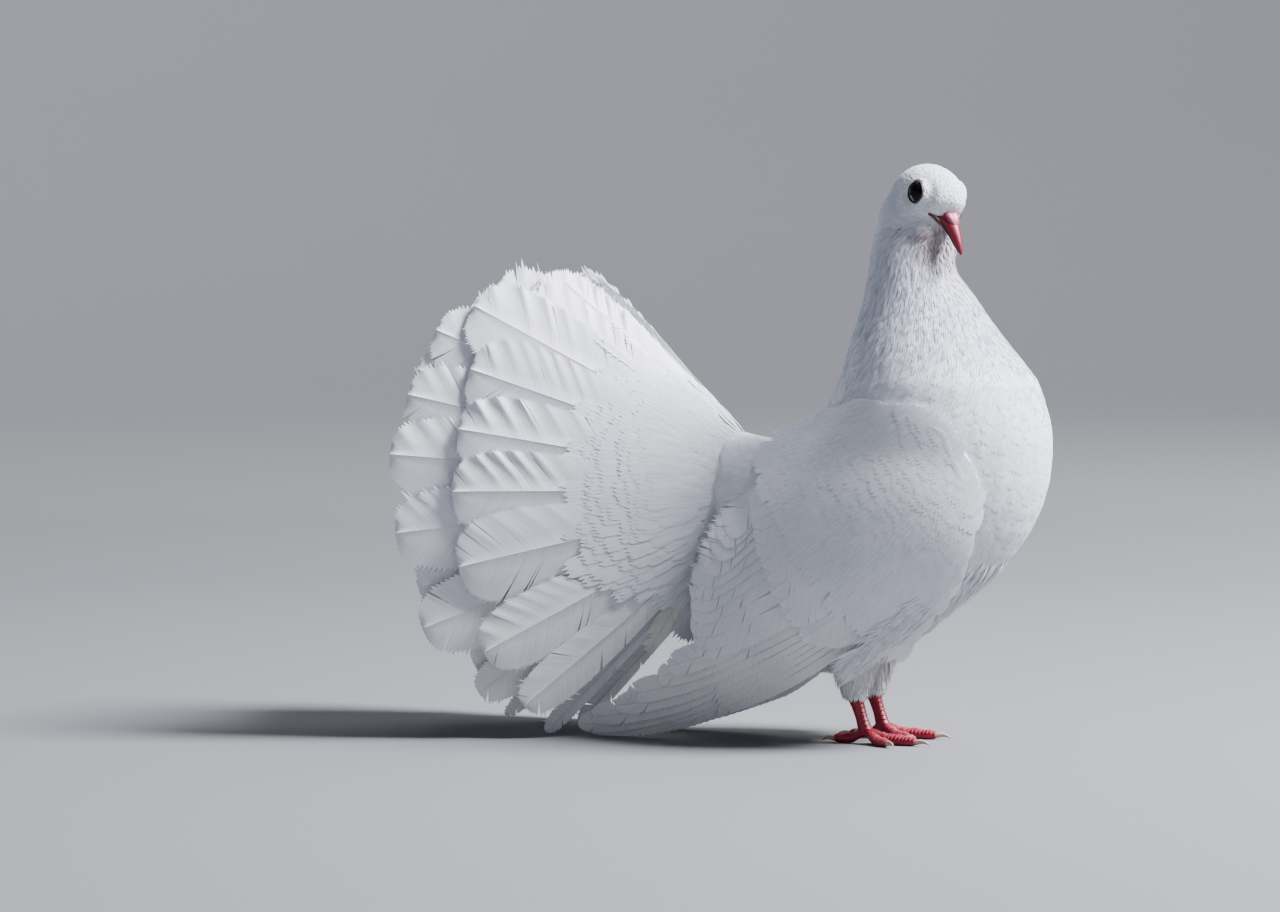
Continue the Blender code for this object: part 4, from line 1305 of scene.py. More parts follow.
# The narrow feathers under each half of the fan: root, tip, half width.
FOOT_FEATHERS = (
    ((-84.0, 12.0, 74.0), (-164.0, 26.0, 8.0), 5.5),
    ((-80.0, 15.0, 66.0), (-146.0, 22.0, 0.8), 6.0),
)


def foot_placer(start, end):
    """Places a straight feather from its root to a tip near the floor."""
    way = unit(end - start)
    across_way = unit(np.cross(way, (0.0, -SIDES["left"], 0.15)))
    normal = np.cross(across_way, way)
    normal = normal * np.sign(normal[1] * start[1])
    span = float(np.linalg.norm(end - start))

    def place(along, across, height):
        sag = 5.0 * (along / span) * (1.0 - along / span)
        result = (start + np.outer(along, way)
                  + np.outer(across, across_way)
                  + np.outer(height, normal))
        result[:, 2] += sag
        result[:, 2] = np.maximum(result[:, 2], TAIL_FLOOR_GAP)
        return result

    return place


def make_tail(side):
    """Half of the fan: rows of broad, rippled feathers."""
    draw = random.Random(TAIL_SEEDS[side])
    coat = Coat()
    total = (sum(row[0] for row in TAIL_ROWS) + len(CROWN_FEATHERS)
             + len(FOOT_FEATHERS))
    places = iter(cells(total, 6))
    span = FAN_LOWEST - FAN_HIGHEST
    pitch = span / (TAIL_ROWS[0][0] - 1)
    for count, heights, far, wide, inset, ripple, barbs in TAIL_ROWS:
        first = FAN_HIGHEST + inset * pitch
        last = FAN_LOWEST - inset * pitch
        for index in range(count):
            arch = first + (last - first) * index / (count - 1)
            if 0 < index < count - 1:
                arch += draw.uniform(-2.4, 2.4)
            length = fan_length(arch) * far * draw.uniform(0.94, 0.995)
            ripple_here = RIPPLE_SHARE * ripple * (1.0 - 0.65 * float(
                fade(arch, 78.0, 105.0))) * draw.uniform(0.6, 1.2)
            if not inset:
                length *= 1.0 - OUTER_SHORT * float(
                    fade(arch, 40.0, 62.0) * (1.0 - fade(arch, 108.0, 128.0)))
            length -= FAN_VANE_ROOT
            half = FAN_HALF_WIDTH * wide * draw.uniform(0.9, 1.02)
            half *= 1.0 - 0.45 * float(fade(arch, 112.0, 133.0))
            tail_vane(coat, side, arch, length, half, heights, draw,
                      next(places), barbs,
                      ripple=ripple_here,
                      wave=draw.uniform(9.0, 16.0), fringe=0.015,
                      fray=0.08 if draw.random() < 0.35 else 0.015)
    for arch, far in CROWN_FEATHERS:
        length = fan_length(arch) * far - FAN_VANE_ROOT
        tail_vane(coat, side, arch, length, 13.0, (0.6, 2.0, 3.2), draw,
                  next(places), 60, ripple=1.2, wave=11.0, fringe=0.05,
                  fray=0.18, splits=8)
    for root, tip, half in FOOT_FEATHERS:
        start = np.array(root) * (1.0, SIDES[side], 1.0)
        end = np.array(tip) * (1.0, SIDES[side], 1.0)
        long = float(np.linalg.norm(end - start))
        sheet = merge_shaft(*feather_sheet(
            long, half * 0.7, half, 56, 0.2, draw, ripple=0.5, wave=12.0,
            splits=5, camber=0.1, rachis=0.5, fringe=0.02, fray=0.12))
        add_feather(coat, sheet, foot_placer(start, end), TAIL_VANE_THICK,
                    tail_tint, next(places))
    tail = coat.build("tail_vanes_" + side, FLIGHT)
    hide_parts("tail_fan_" + side)


# The tail coverts: how far out the first and last rows lie, how far apart
# the rows and their feathers are, and the last arch angle.
COVERT_START = -14.0
COVERT_END = 60.0
COVERT_PITCH = 4.0
COVERT_APART = 4.6
ARCH_END = 178.0


def make_tail_coverts(side):
    """Soft feathers that spread from the rump out over the fan's base."""
    spots, faces = CONTOUR
    coat = Coat()
    radius = COVERT_START
    row = 0
    while radius < COVERT_END:
        out = max(radius, -2.0)
        arch = -2.0 + 3.0 * (row % 2)
        while arch < ARCH_END:
            low = max(0.0, arch - FAN_LOWEST) / 45.0
            reach = out * (1.0 - 0.35 * low)
            limit = COVERT_END - 26.0 * float(fade(arch, 100.0, 150.0))
            limit -= 22.0 * (1.0 - float(fade(arch, 0.0, 45.0)))
            limit += RNG.uniform(-5.0, 3.0)
            along, across, normal = fan_axes(side, arch)
            ahead = fan_root(side, arch + 1.0) + fan_axes(
                side, arch + 1.0)[0] * reach
            width_here = np.linalg.norm(
                ahead - fan_root(side, arch) - along * reach)
            step = COVERT_APART / max(width_here, 0.25)
            if reach < limit:
                length = RNG.uniform(14.0, 18.0)
                wide = RNG.uniform(4.0, 5.0)
                swing = RNG.normal(0.0, 0.05)
                lift = 0.6 + 1.6 * float(fade(radius, -4.0, 26.0))
                lift -= 0.6 * float(fade(radius, 30.0, 60.0))
                length *= 1.0 + 0.3 * float(fade(radius, 30.0, 50.0))
                lift += RNG.uniform(-0.015, 0.015)
                rooted = 2.4 * (1.0 - float(fade(radius, COVERT_START, 2.0)))
                u = spots[:, 0] * length
                v = spots[:, 1] * wide
                u, v = (u * math.cos(swing) - v * math.sin(swing),
                        u * math.sin(swing) + v * math.cos(swing))
                height = (lift - 0.35 + 0.22 * spots[:, 0]
                          - rooted * (1.0 - spots[:, 0])
                          + COVERT_CAMBER * wide * spots[:, 2])
                base = fan_root(side, arch) + along * (
                    reach + RNG.uniform(-2.0, 2.0))
                tops = (base + np.outer(u, along) + np.outer(v, across)
                        + np.outer(height, normal))
                tops[:, 1] = np.maximum(tops[:, 1] * SIDES[side],
                                        COVERT_MIDDLE_GAP) * SIDES[side]
                tops[:, 2] = np.maximum(tops[:, 2], TAIL_FLOOR_GAP)
                tone = np.clip(1.0 + RNG.normal(0.0, 0.01), 0.0, 1.0)
                vane = np.stack([v + arch * 1.9, u], 1) * MM
                spot = (0.1 + 0.8 * (radius - COVERT_START) / 80.0,
                        0.1 + 0.8 * (arch + 4.0) / 190.0)
                coat.take(tops, tops - normal * COVERT_THICK, faces,
                          tail_tint(tops) * tone, vane,
                          np.array(spot) + bake_patch(spots))
            arch += step * RNG.uniform(0.85, 1.15)
        radius += COVERT_PITCH
        row += 1
    coat.build("tail_coverts_" + side, PLUMAGE)


# The one feather that hangs loose below the fan's root.
LOOSE_ROOT = (-78.0, -12.0, 72.0)
LOOSE_TIP = (-97.0, -22.0, 40.0)
LOOSE_LENGTH = 40.0
LOOSE_SEED = 5
LOOSE_TINT = (0.9, 0.9, 0.76)


def make_loose_feather():
    """A worn cream feather that hangs between the fan and the wing."""
    draw = random.Random(LOOSE_SEED)
    coat = Coat()
    sheet = merge_shaft(*feather_sheet(
        LOOSE_LENGTH, 5.0, 3.5, 36, 0.35, draw, ripple=0.6, wave=7.0,
        fringe=0.05, splits=4, camber=0.15, rachis=0.3, fray=0.15))
    start = np.array(LOOSE_ROOT)
    way = unit(np.array(LOOSE_TIP) - start)
    across = unit(np.cross(way, (0.0, 1.0, 0.0)))
    normal = np.cross(across, way)

    def place(along, side, height):
        bend = 3.0 * (along / LOOSE_LENGTH) ** 2
        return (start + np.outer(along, way) + np.outer(side, across)
                + np.outer(height + bend, normal))

    add_feather(coat, sheet, place, WING_VANE_THICK,
                lambda tops: np.tile(LOOSE_TINT, (len(tops), 1)),
                ((0.05, 0.05), np.array((0.9, 0.9))))
    coat.build("loose_under_feather", FLIGHT)


# Wing tiers from the innermost out: count, heights at root, middle and
# tip, the step down from each feather to the next below it, lean, rows of
# root p, root q, tip p, tip q, half width and sag, the barbs a side, and
# how much of the length the rounded tip takes.
WING_TIERS = (
    (9, (-5.0, -6.2, -3.0), -0.5, 7.0, (
        (62.0, -20.0, 217.0, 6.5, 6.0, 10.0),
        (63.0, -14.0, 228.0, 11.0, 6.5, 7.0),
        (64.0, -8.0, 206.0, 14.5, 7.0, 4.0),
        (66.0, -2.0, 171.0, 18.5, 7.5, 0.0)), 56, 0.1),
    (11, (-4.6, -3.4, -2.2), -0.1, 7.0, (
        (66.0, 0.0, 155.0, 20.0, 9.5, 0.0),
        (64.0, 24.0, 149.0, 36.5, 10.5, -1.0),
        (60.0, 44.0, 132.0, 47.5, 11.0, -3.0),
        (58.0, 60.0, 111.0, 57.0, 10.5, -4.0)), 46, 0.16),
    (5, (-4.2, -3.4, -2.6), 0.0, 5.0, (
        (30.0, -17.0, 84.0, -17.5, 5.5, 1.0),
        (34.0, -13.5, 97.0, -12.5, 6.0, 1.0),
        (38.0, -9.0, 105.0, -4.0, 7.0, 1.0)), 34, 0.2),
    (11, (-3.1, -2.1, -1.4), 0.0, 5.0, (
        (46.0, 3.0, 104.0, 5.0, 7.0, 0.0),
        (46.0, 32.0, 101.0, 34.0, 7.5, 0.0),
        (46.0, 60.0, 93.0, 62.0, 7.0, 0.0)), 32, 0.3),
    (12, (-1.9, -1.4, -0.9), 0.0, 5.0, (
        (26.0, -10.0, 73.0, -13.0, 6.5, 0.0),
        (24.0, 24.0, 76.0, 26.0, 7.0, 0.0),
        (28.0, 56.0, 71.0, 63.0, 6.5, 0.0)), 26, 0.34),
)


# A feather with more barbs than this is a long quill.
QUILL_BARBS = 35


def wing_placer(side, row, heights, lean):
    """Places a wing feather on the sheet, and gives its length."""
    root_p, root_q, tip_p, tip_q, _, sag = row
    run = math.hypot(tip_p - root_p, tip_q - root_q)
    slope = math.tan(math.radians(lean))

    def centre(share):
        return (root_p + (tip_p - root_p) * share,
                root_q + (tip_q - root_q) * share
                - 4.0 * sag * share * (1.0 - share))

    def place(along, across, height):
        share = along / run
        p, q = centre(share)
        p0, q0 = centre(share - 0.02)
        p1, q1 = centre(share + 0.02)
        size = np.hypot(p1 - p0, q1 - q0)
        p = p - across * (q1 - q0) / size
        q = q + across * (p1 - p0) / size
        height = height + blend(heights, share) - across * slope
        result = wing_place(side, p, q, height)
        result[:, 2] = np.maximum(result[:, 2], WING_FLOOR_GAP)
        return result

    return place, run


def make_wing_flights(side):
    """A wing's quills and greater coverts, in tiers that overlap."""
    draw = random.Random(WING_SEEDS[side])
    coat = Coat()
    total = sum(tier[0] for tier in WING_TIERS)
    places = iter(cells(total, 8))
    for count, heights, step, lean, rows, barbs, tip in WING_TIERS:
        for index, row in enumerate(smooth_rows(rows, count)):
            drop = step * (count - 1 - index)
            lowered = (heights[0] + 0.35 * drop, heights[1] + drop,
                       heights[2] + drop)
            place, run = wing_placer(side, row, lowered, lean)
            run *= draw.uniform(0.97, 1.0)
            half = row[4] * draw.uniform(0.96, 1.04)
            lead, splits, rachis = ((0.8, 2, 0.35) if barbs > QUILL_BARBS
                                    else (1.0, 1, 0.15))
            sheet = merge_shaft(*feather_sheet(
                run, half * lead, half * 1.05, barbs, tip, draw, ripple=0.08,
                fringe=0.03, splits=splits, camber=0.04, rachis=rachis))
            add_feather(coat, sheet, place, WING_VANE_THICK, wing_tint,
                        next(places))
    wing = coat.build("wing_flights_" + side, FLIGHT)
    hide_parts("wing_" + side)


def make_wing_skin(side):
    """The wing's flesh under its coverts, a closed shell on the sheet."""
    rows = []
    stations = np.linspace(-5.0, 100.0, 30)
    share = np.linspace(0.0, 1.0, 25)
    for p in stations:
        _, low, high, _, _, _ = row_at(WING_ROWS, p)
        back = max(0.0, p - 35.0) / 70.0
        low += 2.0 + 12.0 * back * back
        q = low + (high - low) * share
        rows.append((np.full_like(q, p), q,
                     np.full_like(q, -1.2 - 5.0 * back)))
    tops = np.stack([wing_place(side, *row) for row in rows])
    edge = np.minimum(1.0, 0.35 + 4.0 * share * (1.0 - share))
    lows = np.stack([wing_place(side, p, q, h - 6.0 * edge)
                     for p, q, h in rows])
    columns = len(share)
    faces = []
    for i in range(len(rows) - 1):
        for j in range(columns - 1):
            a = i * columns + j
            faces.append((a, a + 1, a + columns + 1, a + columns))
    count = len(rows) * columns
    points = np.concatenate([tops.reshape(-1, 3), lows.reshape(-1, 3)])
    item = piece("wing_flesh_" + side, SKIN, points,
                 closed_faces(faces, count))
    set_tint(item, wing_tint(points))
    return item


def wing_covert(coat, side, p, q, length, width, turn, height, rise=0.35,
                template=CONTOUR, depth=None):
    """One small covert at a place on the wing, laid along a direction.

    Near the front edge its depth in from the edge rounds the wing off.
    """
    spots, faces = template
    along = spots[:, 0] * length
    across = spots[:, 1] * width
    ps = p + along * math.cos(turn) - across * math.sin(turn)
    qs = q + along * math.sin(turn) + across * math.cos(turn)
    height = (height + rise * spots[:, 0]
              + COVERT_CAMBER * width * spots[:, 2])
    if depth is not None:
        height = height - 0.07 * np.maximum(6.5 - depth - across, 0.0) ** 2
    tops = wing_place(side, ps, qs, height)
    lows = wing_place(side, ps, qs, height - COVERT_THICK)
    tone = np.clip(1.0 + RNG.normal(0.0, 0.01), 0.0, 1.0)
    vane = np.stack([across + q * 1.7, along], 1) * MM
    spot = (0.1 + 0.8 * (p + 14.0) / 90.0, 0.1 + 0.8 * (q + 34.0) / 120.0)
    coat.take(tops, lows, faces, wing_tint(tops) * tone, vane,
              np.array(spot) + bake_patch(spots))


# How far in from the wing's front edge its rows of coverts run.
MARGIN_DEPTHS = (-1.2, 0.6, 2.4, 4.2, 6.0)
# How many loose strands lie over each wing's lower edge.
WISP_COUNT = 440


def make_wing_coverts(side):
    """Lesser and median coverts, in offset rows that lie flat and close."""
    coat = Coat()
    row = 0
    p = -10.0
    while p < 66.0:
        low, high = row_at(WING_ROWS, max(p, WING_FIRST))[1:3]
        size = 7.0 + 0.07 * (p + 10.0)
        q = low + 1.0 + size * 0.27 * (row % 2)
        while q < high + 1.0:
            middle = (q - low) / max(high - low, 1.0)
            wing_covert(coat, side, p + RNG.uniform(-1.6, 1.6), q,
                        size * RNG.uniform(1.5, 1.9),
                        size * RNG.uniform(0.46, 0.6),
                        (middle - 0.5) * 0.45 + RNG.normal(0.0, 0.04),
                        -0.8 + RNG.uniform(-0.04, 0.04))
            q += size * 0.54 * RNG.uniform(0.93, 1.07)
        p += size * 0.36
        row += 1
    # Marginal coverts run along the wing's front edge and round it off.
    path = smooth_rows(WING_FRONT_EDGE, 90)
    ways = np.gradient(path, axis=0)
    run = np.concatenate([[0.0], np.cumsum(
        np.linalg.norm(np.diff(path, axis=0), axis=1))])
    for depth in MARGIN_DEPTHS:
        at = RNG.uniform(0.0, 2.0)
        while at < run[-1]:
            p, q = (np.interp(at, run, path[:, k]) for k in (0, 1))
            turn = math.atan2(np.interp(at, run, ways[:, 1]),
                              np.interp(at, run, ways[:, 0]))
            wing_covert(coat, side, p - depth * math.sin(turn),
                        q + depth * math.cos(turn), 8.0, 2.2,
                        turn + 0.02 * depth, -0.75, 0.3, depth=depth)
            at += 1.7 * RNG.uniform(0.9, 1.1)
    coat.build("wing_coverts_" + side, PLUMAGE)


def make_belly_wisps(side):
    """Loose belly down that blows up over the wing's lower edge."""
    coat = Coat()
    for _ in range(WISP_COUNT):
        p = RNG.uniform(52.0, 94.0)
        q = row_at(WING_ROWS, p)[1] + RNG.uniform(-1.0, 1.0) ** 3 * 5.0 + 1.5
        wing_covert(coat, side, p, q, RNG.uniform(7.0, 13.0),
                    RNG.uniform(0.3, 0.5), RNG.normal(0.08, 0.14), -0.2,
                    rise=RNG.uniform(0.2, 0.9), template=STRAND)
    coat.build("belly_wisps_" + side, PLUMAGE)


wing_shells = [make_wing_skin(side) for side in SIDES]
WING_TREE = BVHTree.FromPolygons(
    np.concatenate([mesh_points(item) for item in wing_shells]).tolist(),
    [tuple(v + (len(wing_shells[0].data.vertices) if index else 0)
           for v in face.vertices)
     for index, item in enumerate(wing_shells)
     for face in item.data.polygons])
for side in SIDES:
    make_wing_flights(side)
    make_wing_coverts(side)
    make_belly_wisps(side)
    make_tail(side)
    make_tail_coverts(side)
make_loose_feather()

# Where each kind of body feather grows

# The corner of the mouth and the line it opens along, in the head's axes.
GAPE_LINE = ((11.9, 8.9, -4.6), (13.2, 6.8, -5.8), (14.4, 4.6, -8.2))


def uncovered(centres, normals, area):
    """True in an area where no wing, eye or bill covers the skin."""
    good = np.ones(len(centres), bool)
    area = area & ((centres[:, 2] > 21.0) | (centres[:, 0] < -28.0))
    for index in np.flatnonzero(area):
        hit = WING_TREE.ray_cast(Vector(centres[index]),
                                 Vector(normals[index]), 26.0)
        if hit[0] is not None and hit[3] > 3.0:
            good[index] = False
    for side in SIDES:
        height, off = eye_polar(side, centres)
        opening = eye_opening(side, centres)
        good &= (height < 0.0) | (off > opening + 0.8)
    own = head_axes_of(centres)
    bill = (own - (15.5, 0.0, -6.5)) * (1.0, 0.95, 1.0)
    good &= np.linalg.norm(bill, axis=1) > 4.6
    own[:, 1] = np.abs(own[:, 1])
    gape = np.array(GAPE_LINE)
    for start, end in zip(gape, gape[1:]):
        way = end - start
        share = np.clip((own - start) @ way / (way @ way), 0.0, 1.0)
        gap = np.linalg.norm(own - start - share[:, None] * way, axis=1)
        good &= gap > 0.8
    return good & area


# Where the head's smooth feathers give way to the neck's.
HEAD_LOW = 226.0


def is_head(centres, normals):
    """Where the head's feathers grow."""
    return uncovered(centres, normals, centres[:, 2] > HEAD_LOW)


def is_neck(centres, normals):
    """Where the neck's grow, down to a ragged edge over the shoulders."""
    z = centres[:, 2]
    edge = 148.0 + 20.0 * RNG.uniform(0.0, 1.0, len(z))
    return uncovered(centres, normals, (z <= HEAD_LOW + 4.0) & (z > edge))


def is_body(centres, normals):
    """Where the broad feathers of the breast, back and belly grow."""
    z = centres[:, 2]
    x = centres[:, 0]
    legs = (z < 74.0) & (x > -26.0)
    return uncovered(centres, normals, (z <= 168.0) & ~legs & (x > -78.0))


def is_thigh(centres, normals):
    """Where the loose feathers of the thighs and vent grow."""
    z = centres[:, 2]
    return uncovered(centres, normals,
                     (z < 84.0) & (centres[:, 0] > -29.0))


def head_size(roots):
    """Length and half width: shortest at the bill and round the eyes."""
    bill = np.array(head_point(19.0, 0.0, -4.0))
    away = fade(np.linalg.norm(roots - bill, axis=1), 6.0, 30.0)
    short = np.ones(len(roots))
    for side in SIDES:
        height, off = eye_polar(side, roots)
        near = (1.0 - fade(off, 6.0, 10.0)) * (height > 0.0)
        short -= 0.4 * near
    return (2.2 + 2.2 * away) * short, (0.5 + 0.4 * away) * short


def neck_size(roots):
    """Length and half width of the neck's feathers, more lower down."""
    low = 1.0 - fade(roots[:, 2], 165.0, 225.0)
    return 6.0 + 3.0 * low, 0.55 + 0.55 * low


def body_size(roots):
    """Length and half width of the body's feathers, more lower down."""
    low = 1.0 - fade(roots[:, 2], 110.0, 165.0)
    return 8.5 + 1.5 * low, 2.9 + 1.0 * low


def thigh_size(roots):
    """Length and half width of the thighs' feathers, less lower down."""
    low = 1.0 - fade(roots[:, 2], 24.0, 60.0)
    return 9.0 - 2.5 * low, np.full(len(roots), 0.8)


tufts(["head_plumage"], STRAND, 1.05, is_head, head_size, 0.1, 0.03)
tufts(["neck_plumage"], STRAND, 1.2, is_neck, neck_size, 0.3, 0.22)
tufts(["shoulder_plumage", "breast_plumage", "belly_plumage"], CONTOUR, 2.6,
      is_body, body_size, 0.15, 0.012)
tufts(["thigh_plumage"], STRAND, 1.15, is_thigh, thigh_size, 1.1, 0.05, 0.9)

# Eyes and lids


def make_eye(side):
    """An eyeball whose cornea bulges, with its pupil and iris marked."""
    look, level, upright = (np.array(v) for v in eye_axes(side))
    centre = np.array(eye_centre(side))
    sides = 40
    rings = []
    marks = []
    for degrees in (4, 10, 16, 22, 28, 33, 38, 44, 52, 64, 80, 100, 125,
                    150, 172):
        angle = math.radians(degrees)
        bulge = 0.45 * max(0.0, 1.0 - (degrees / 34.0) ** 2)
        bulge -= 1.1 * float(fade(degrees, 42.0, 60.0))
        radius = EYE_RADIUS - 0.12 + bulge
        rings.append(ellipse(centre + look * math.cos(angle) * radius, level,
                             upright, math.sin(angle) * radius,
                             math.sin(angle) * radius, sides))
        marks += [float(fade(degrees, 32.0, 40.0))] * sides
    eye = loft("eyeball_" + side, rings, EYE)
    set_mark(eye, marks)
    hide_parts("eye_" + side)


# The lids' section: share of the way out over the rim, and height.
LID_PROFILE = ((0.0, 0.0), (0.1, 0.22), (0.35, 0.34), (0.68, 0.26),
               (1.0, -0.1), (1.0, -1.0), (0.4, -1.1), (0.0, -0.7))
# How far off the eye's axis the lids start, and how wide they are.
LID_INNER = 4.35
LID_WIDE = 0.75


def make_lid(side):
    """Bare lids round the eye, drawn up to a point above it."""
    look, level, upright = (np.array(v) for v in eye_axes(side))
    centre = np.array(eye_centre(side))
    points = []
    marks = []
    sides = 64
    for step in range(sides):
        angle = 2 * math.pi * step / sides
        peak = max(0.0, math.sin(angle)) ** 5
        inner = LID_INNER * (1.0 + 0.2 * peak - 0.04 * abs(math.cos(angle)))
        outer = inner + LID_WIDE
        spoke = level * math.cos(angle) + upright * math.sin(angle)
        start = centre + spoke * outer + look * 20.0
        hit = SKIN_TREE.ray_cast(Vector(start), Vector(-look))[0]
        rim = (np.array(hit) - centre) @ look + 0.05
        ball = math.sqrt(EYE_RADIUS ** 2 - inner ** 2) + 0.1
        fold = 0.05 * math.sin(11 * angle)
        for share, height in LID_PROFILE:
            wide = inner + (outer - inner) * share
            level_here = ball + (rim - ball) * share
            points.append(centre + spoke * wide
                          + look * (level_here + height + fold * share))
            marks.append(0.9 if share < 0.2 else 0.25)
    faces = []
    count = len(LID_PROFILE)
    for i in range(sides):
        j = (i + 1) % sides
        for k in range(count):
            m = (k + 1) % count
            faces.append((i * count + k, i * count + m, j * count + m,
                          j * count + k))
    lid = piece("eyelids_" + side, LID, np.array(points), faces)
    set_mark(lid, marks)
    apply_modifier(lid, "SUBSURF", levels=1, render_levels=1)


for side in SIDES:
    make_eye(side)
    make_lid(side)

# Bill

# Rows along each part of the bill, in the head's axes: how far forward and
# up its middle is, then its half width and half depth.
BILL_UPPER = (
    (9.4, -4.4, 9.6, 0.8),
    (11.6, -5.2, 8.4, 1.1),
    (13.3, -6.6, 5.7, 2.0),
    (16.0, -8.6, 4.0, 2.6),
    (18.6, -12.8, 2.9, 2.3),
    (20.9, -17.6, 2.0, 1.8),
    (22.6, -21.2, 1.1, 1.0),
    (23.0, -22.8, 0.4, 0.35),
)
BILL_LOWER = (
    (7.8, -6.2, 6.0, 0.8),
    (11.0, -8.0, 3.9, 1.2),
    (14.0, -10.5, 2.9, 1.2),
    (17.2, -14.4, 2.0, 1.0),
    (19.9, -18.0, 1.1, 0.7),
    (21.2, -20.0, 0.5, 0.35),
)
CERE_ROWS = (
    (11.8, -2.6, 2.2, 1.3),
    (15.0, -4.2, 3.6, 1.8),
    (17.6, -6.9, 3.3, 1.7),
    (19.4, -10.2, 1.4, 0.8),
)
# The dark seam from each corner of the mouth down the side of the bill:
# forward, out, up and radius.
MOUTH_SEAM = (
    (11.7, 9.3, -4.5, 0.55),
    (12.8, 6.8, -6.0, 0.95),
    (13.6, 4.5, -8.2, 1.1),
    (14.9, 3.1, -10.0, 0.8),
    (17.3, 2.3, -13.6, 0.5),
    (19.9, 1.6, -18.0, 0.35),
    (22.0, 0.9, -21.4, 0.25),
)


def bill_shape(name, rows, count, material, replaced, keel, cleft=0.0):
    """A horn shape along the bill, with a keel on top or a cleft."""
    turn = Matrix.Rotation(HEAD_YAW, 3, "Z")
    rows = smooth_rows(rows, count)
    sides = 24
    rings = []
    marks = []
    for index, (forward, up, wide, deep) in enumerate(rows):
        ahead = rows[min(index + 1, count - 1)]
        behind = rows[max(index - 1, 0)]
        path = Vector((ahead[0] - behind[0], 0.0, ahead[1] - behind[1]))
        path.normalize()
        square = np.array(turn @ Vector((-path.z, 0.0, path.x)))
        lateral = np.array(turn @ Vector((0.0, 1.0, 0.0)))
        centre = np.array(head_point(forward, 0.0, up))
        angle = np.arange(sides) * 2 * math.pi / sides
        high = np.cos(angle)
        across = np.sin(angle)
        lift = high + keel * np.maximum(high, 0.0) ** 6
        lift -= cleft * np.exp(-(across / 0.22) ** 2) * (high > 0)
        rings.append(centre + np.outer(lift * deep, square)
                     + np.outer(np.sign(across) * np.abs(across) ** 0.9
                                * wide, lateral))
        share = index / (count - 1)
        # The underside of each ring is darkened: painted shade. The root and
        # the tip are darker horn.
        low = np.clip(-high, 0.0, 1.0) * 0.5
        tip = 0.25 * max(0.0, share - 0.8) / 0.2
        root = 0.9 * max(0.0, 0.25 - share) / 0.25
        marks += list(np.clip(low + tip + root, 0.0, 1.0))
    item = loft(name, rings, material, 70.0)
    set_mark(item, marks)
    apply_modifier(item, "SUBSURF", levels=1, render_levels=1)
    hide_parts(replaced)


bill_shape("upper_mandible", BILL_UPPER, 16, BILL,
           "bill_upper", 0.12)
bill_shape("lower_mandible", BILL_LOWER, 14, BILL,
           "bill_lower", 0.0)
bill_shape("nose_cere", CERE_ROWS, 12, CERE, "cere", 0.0, 0.3)


def make_mouth_seam():
    """A thin dark line where the two halves of the bill meet."""
    turn = np.array(Matrix.Rotation(HEAD_YAW, 3, "Z"))
    for side in SIDES:
        rows = smooth_rows(MOUTH_SEAM, 18) * (1.0, SIDES[side], 1.0, 1.0)
        rings = []
        for row, way in zip(rows, np.gradient(rows[:, :3], axis=0)):
            way = turn @ unit(way)
            level = unit(np.cross(way, (0.0, 0.0, 1.0)))
            centre = np.array(HEAD_CENTRE) + turn @ row[:3]
            rings.append(ellipse(centre, level, np.cross(way, level),
                                 row[3], row[3], 10))
        seam = loft("mouth_seam_" + side, rings, BILL)
        set_mark(seam, np.full(len(seam.data.vertices), 0.75))


make_mouth_seam()

# Feet

LEG_Y = 13.0
SHANK_TOP = np.array((-2.4, LEG_Y, 21.0))
ANKLE = np.array((2.4, LEG_Y, 5.2))
# Each toe's name, heading, length, radius, and the length of its claw.
TOES = (
    ("middle", 6.0, 24.0, 2.5, 6.5),
    ("inner", -33.0, 17.5, 2.3, 5.5),
    ("outer", 42.0, 18.5, 2.2, 5.5),
    ("hind", 187.0, 15.0, 2.3, 6.5),
)
# Along a toe: share of its length, height of its middle, share of radius.
TOE_STATIONS = ((0.0, 5.2, 1.05), (0.2, 4.4, 1.0), (0.42, 2.3, 0.95),
                (0.58, 2.1, 1.05), (0.72, 2.0, 0.86), (0.86, 1.9, 0.96),
                (1.0, 1.8, 0.66))
TOE_ROWS = 13
# Along a claw: share of its length, rise of its middle, radius.
CLAW_STATIONS = ((-0.12, -0.1, 1.2), (0.0, 0.0, 1.25), (0.35, 0.4, 1.05),
                 (0.7, 0.05, 0.7), (0.92, -0.8, 0.34), (1.0, -1.1, 0.12))
# Along a plate: share of its length, and how far it stands off the limb.
SCUTE_STATIONS = ((-0.1, -0.15), (0.45, 0.16), (0.92, 0.3), (1.02, 0.02))


def toe_line(side, toe):
    """Points, radii and the way of a toe."""
    _, heading, length, radius, _ = toe
    angle = math.radians(heading) * SIDES[side]
    way = np.array((math.cos(angle), math.sin(angle), 0.0))
    start = np.array((ANKLE[0], ANKLE[1] * SIDES[side], 0.0))
    rows = smooth_rows(TOE_STATIONS, TOE_ROWS)
    points = (start + np.outer(rows[:, 0] * length, way)
              + np.outer(rows[:, 1], (0.0, 0.0, 1.0)))
    return points, rows[:, 2] * radius, way


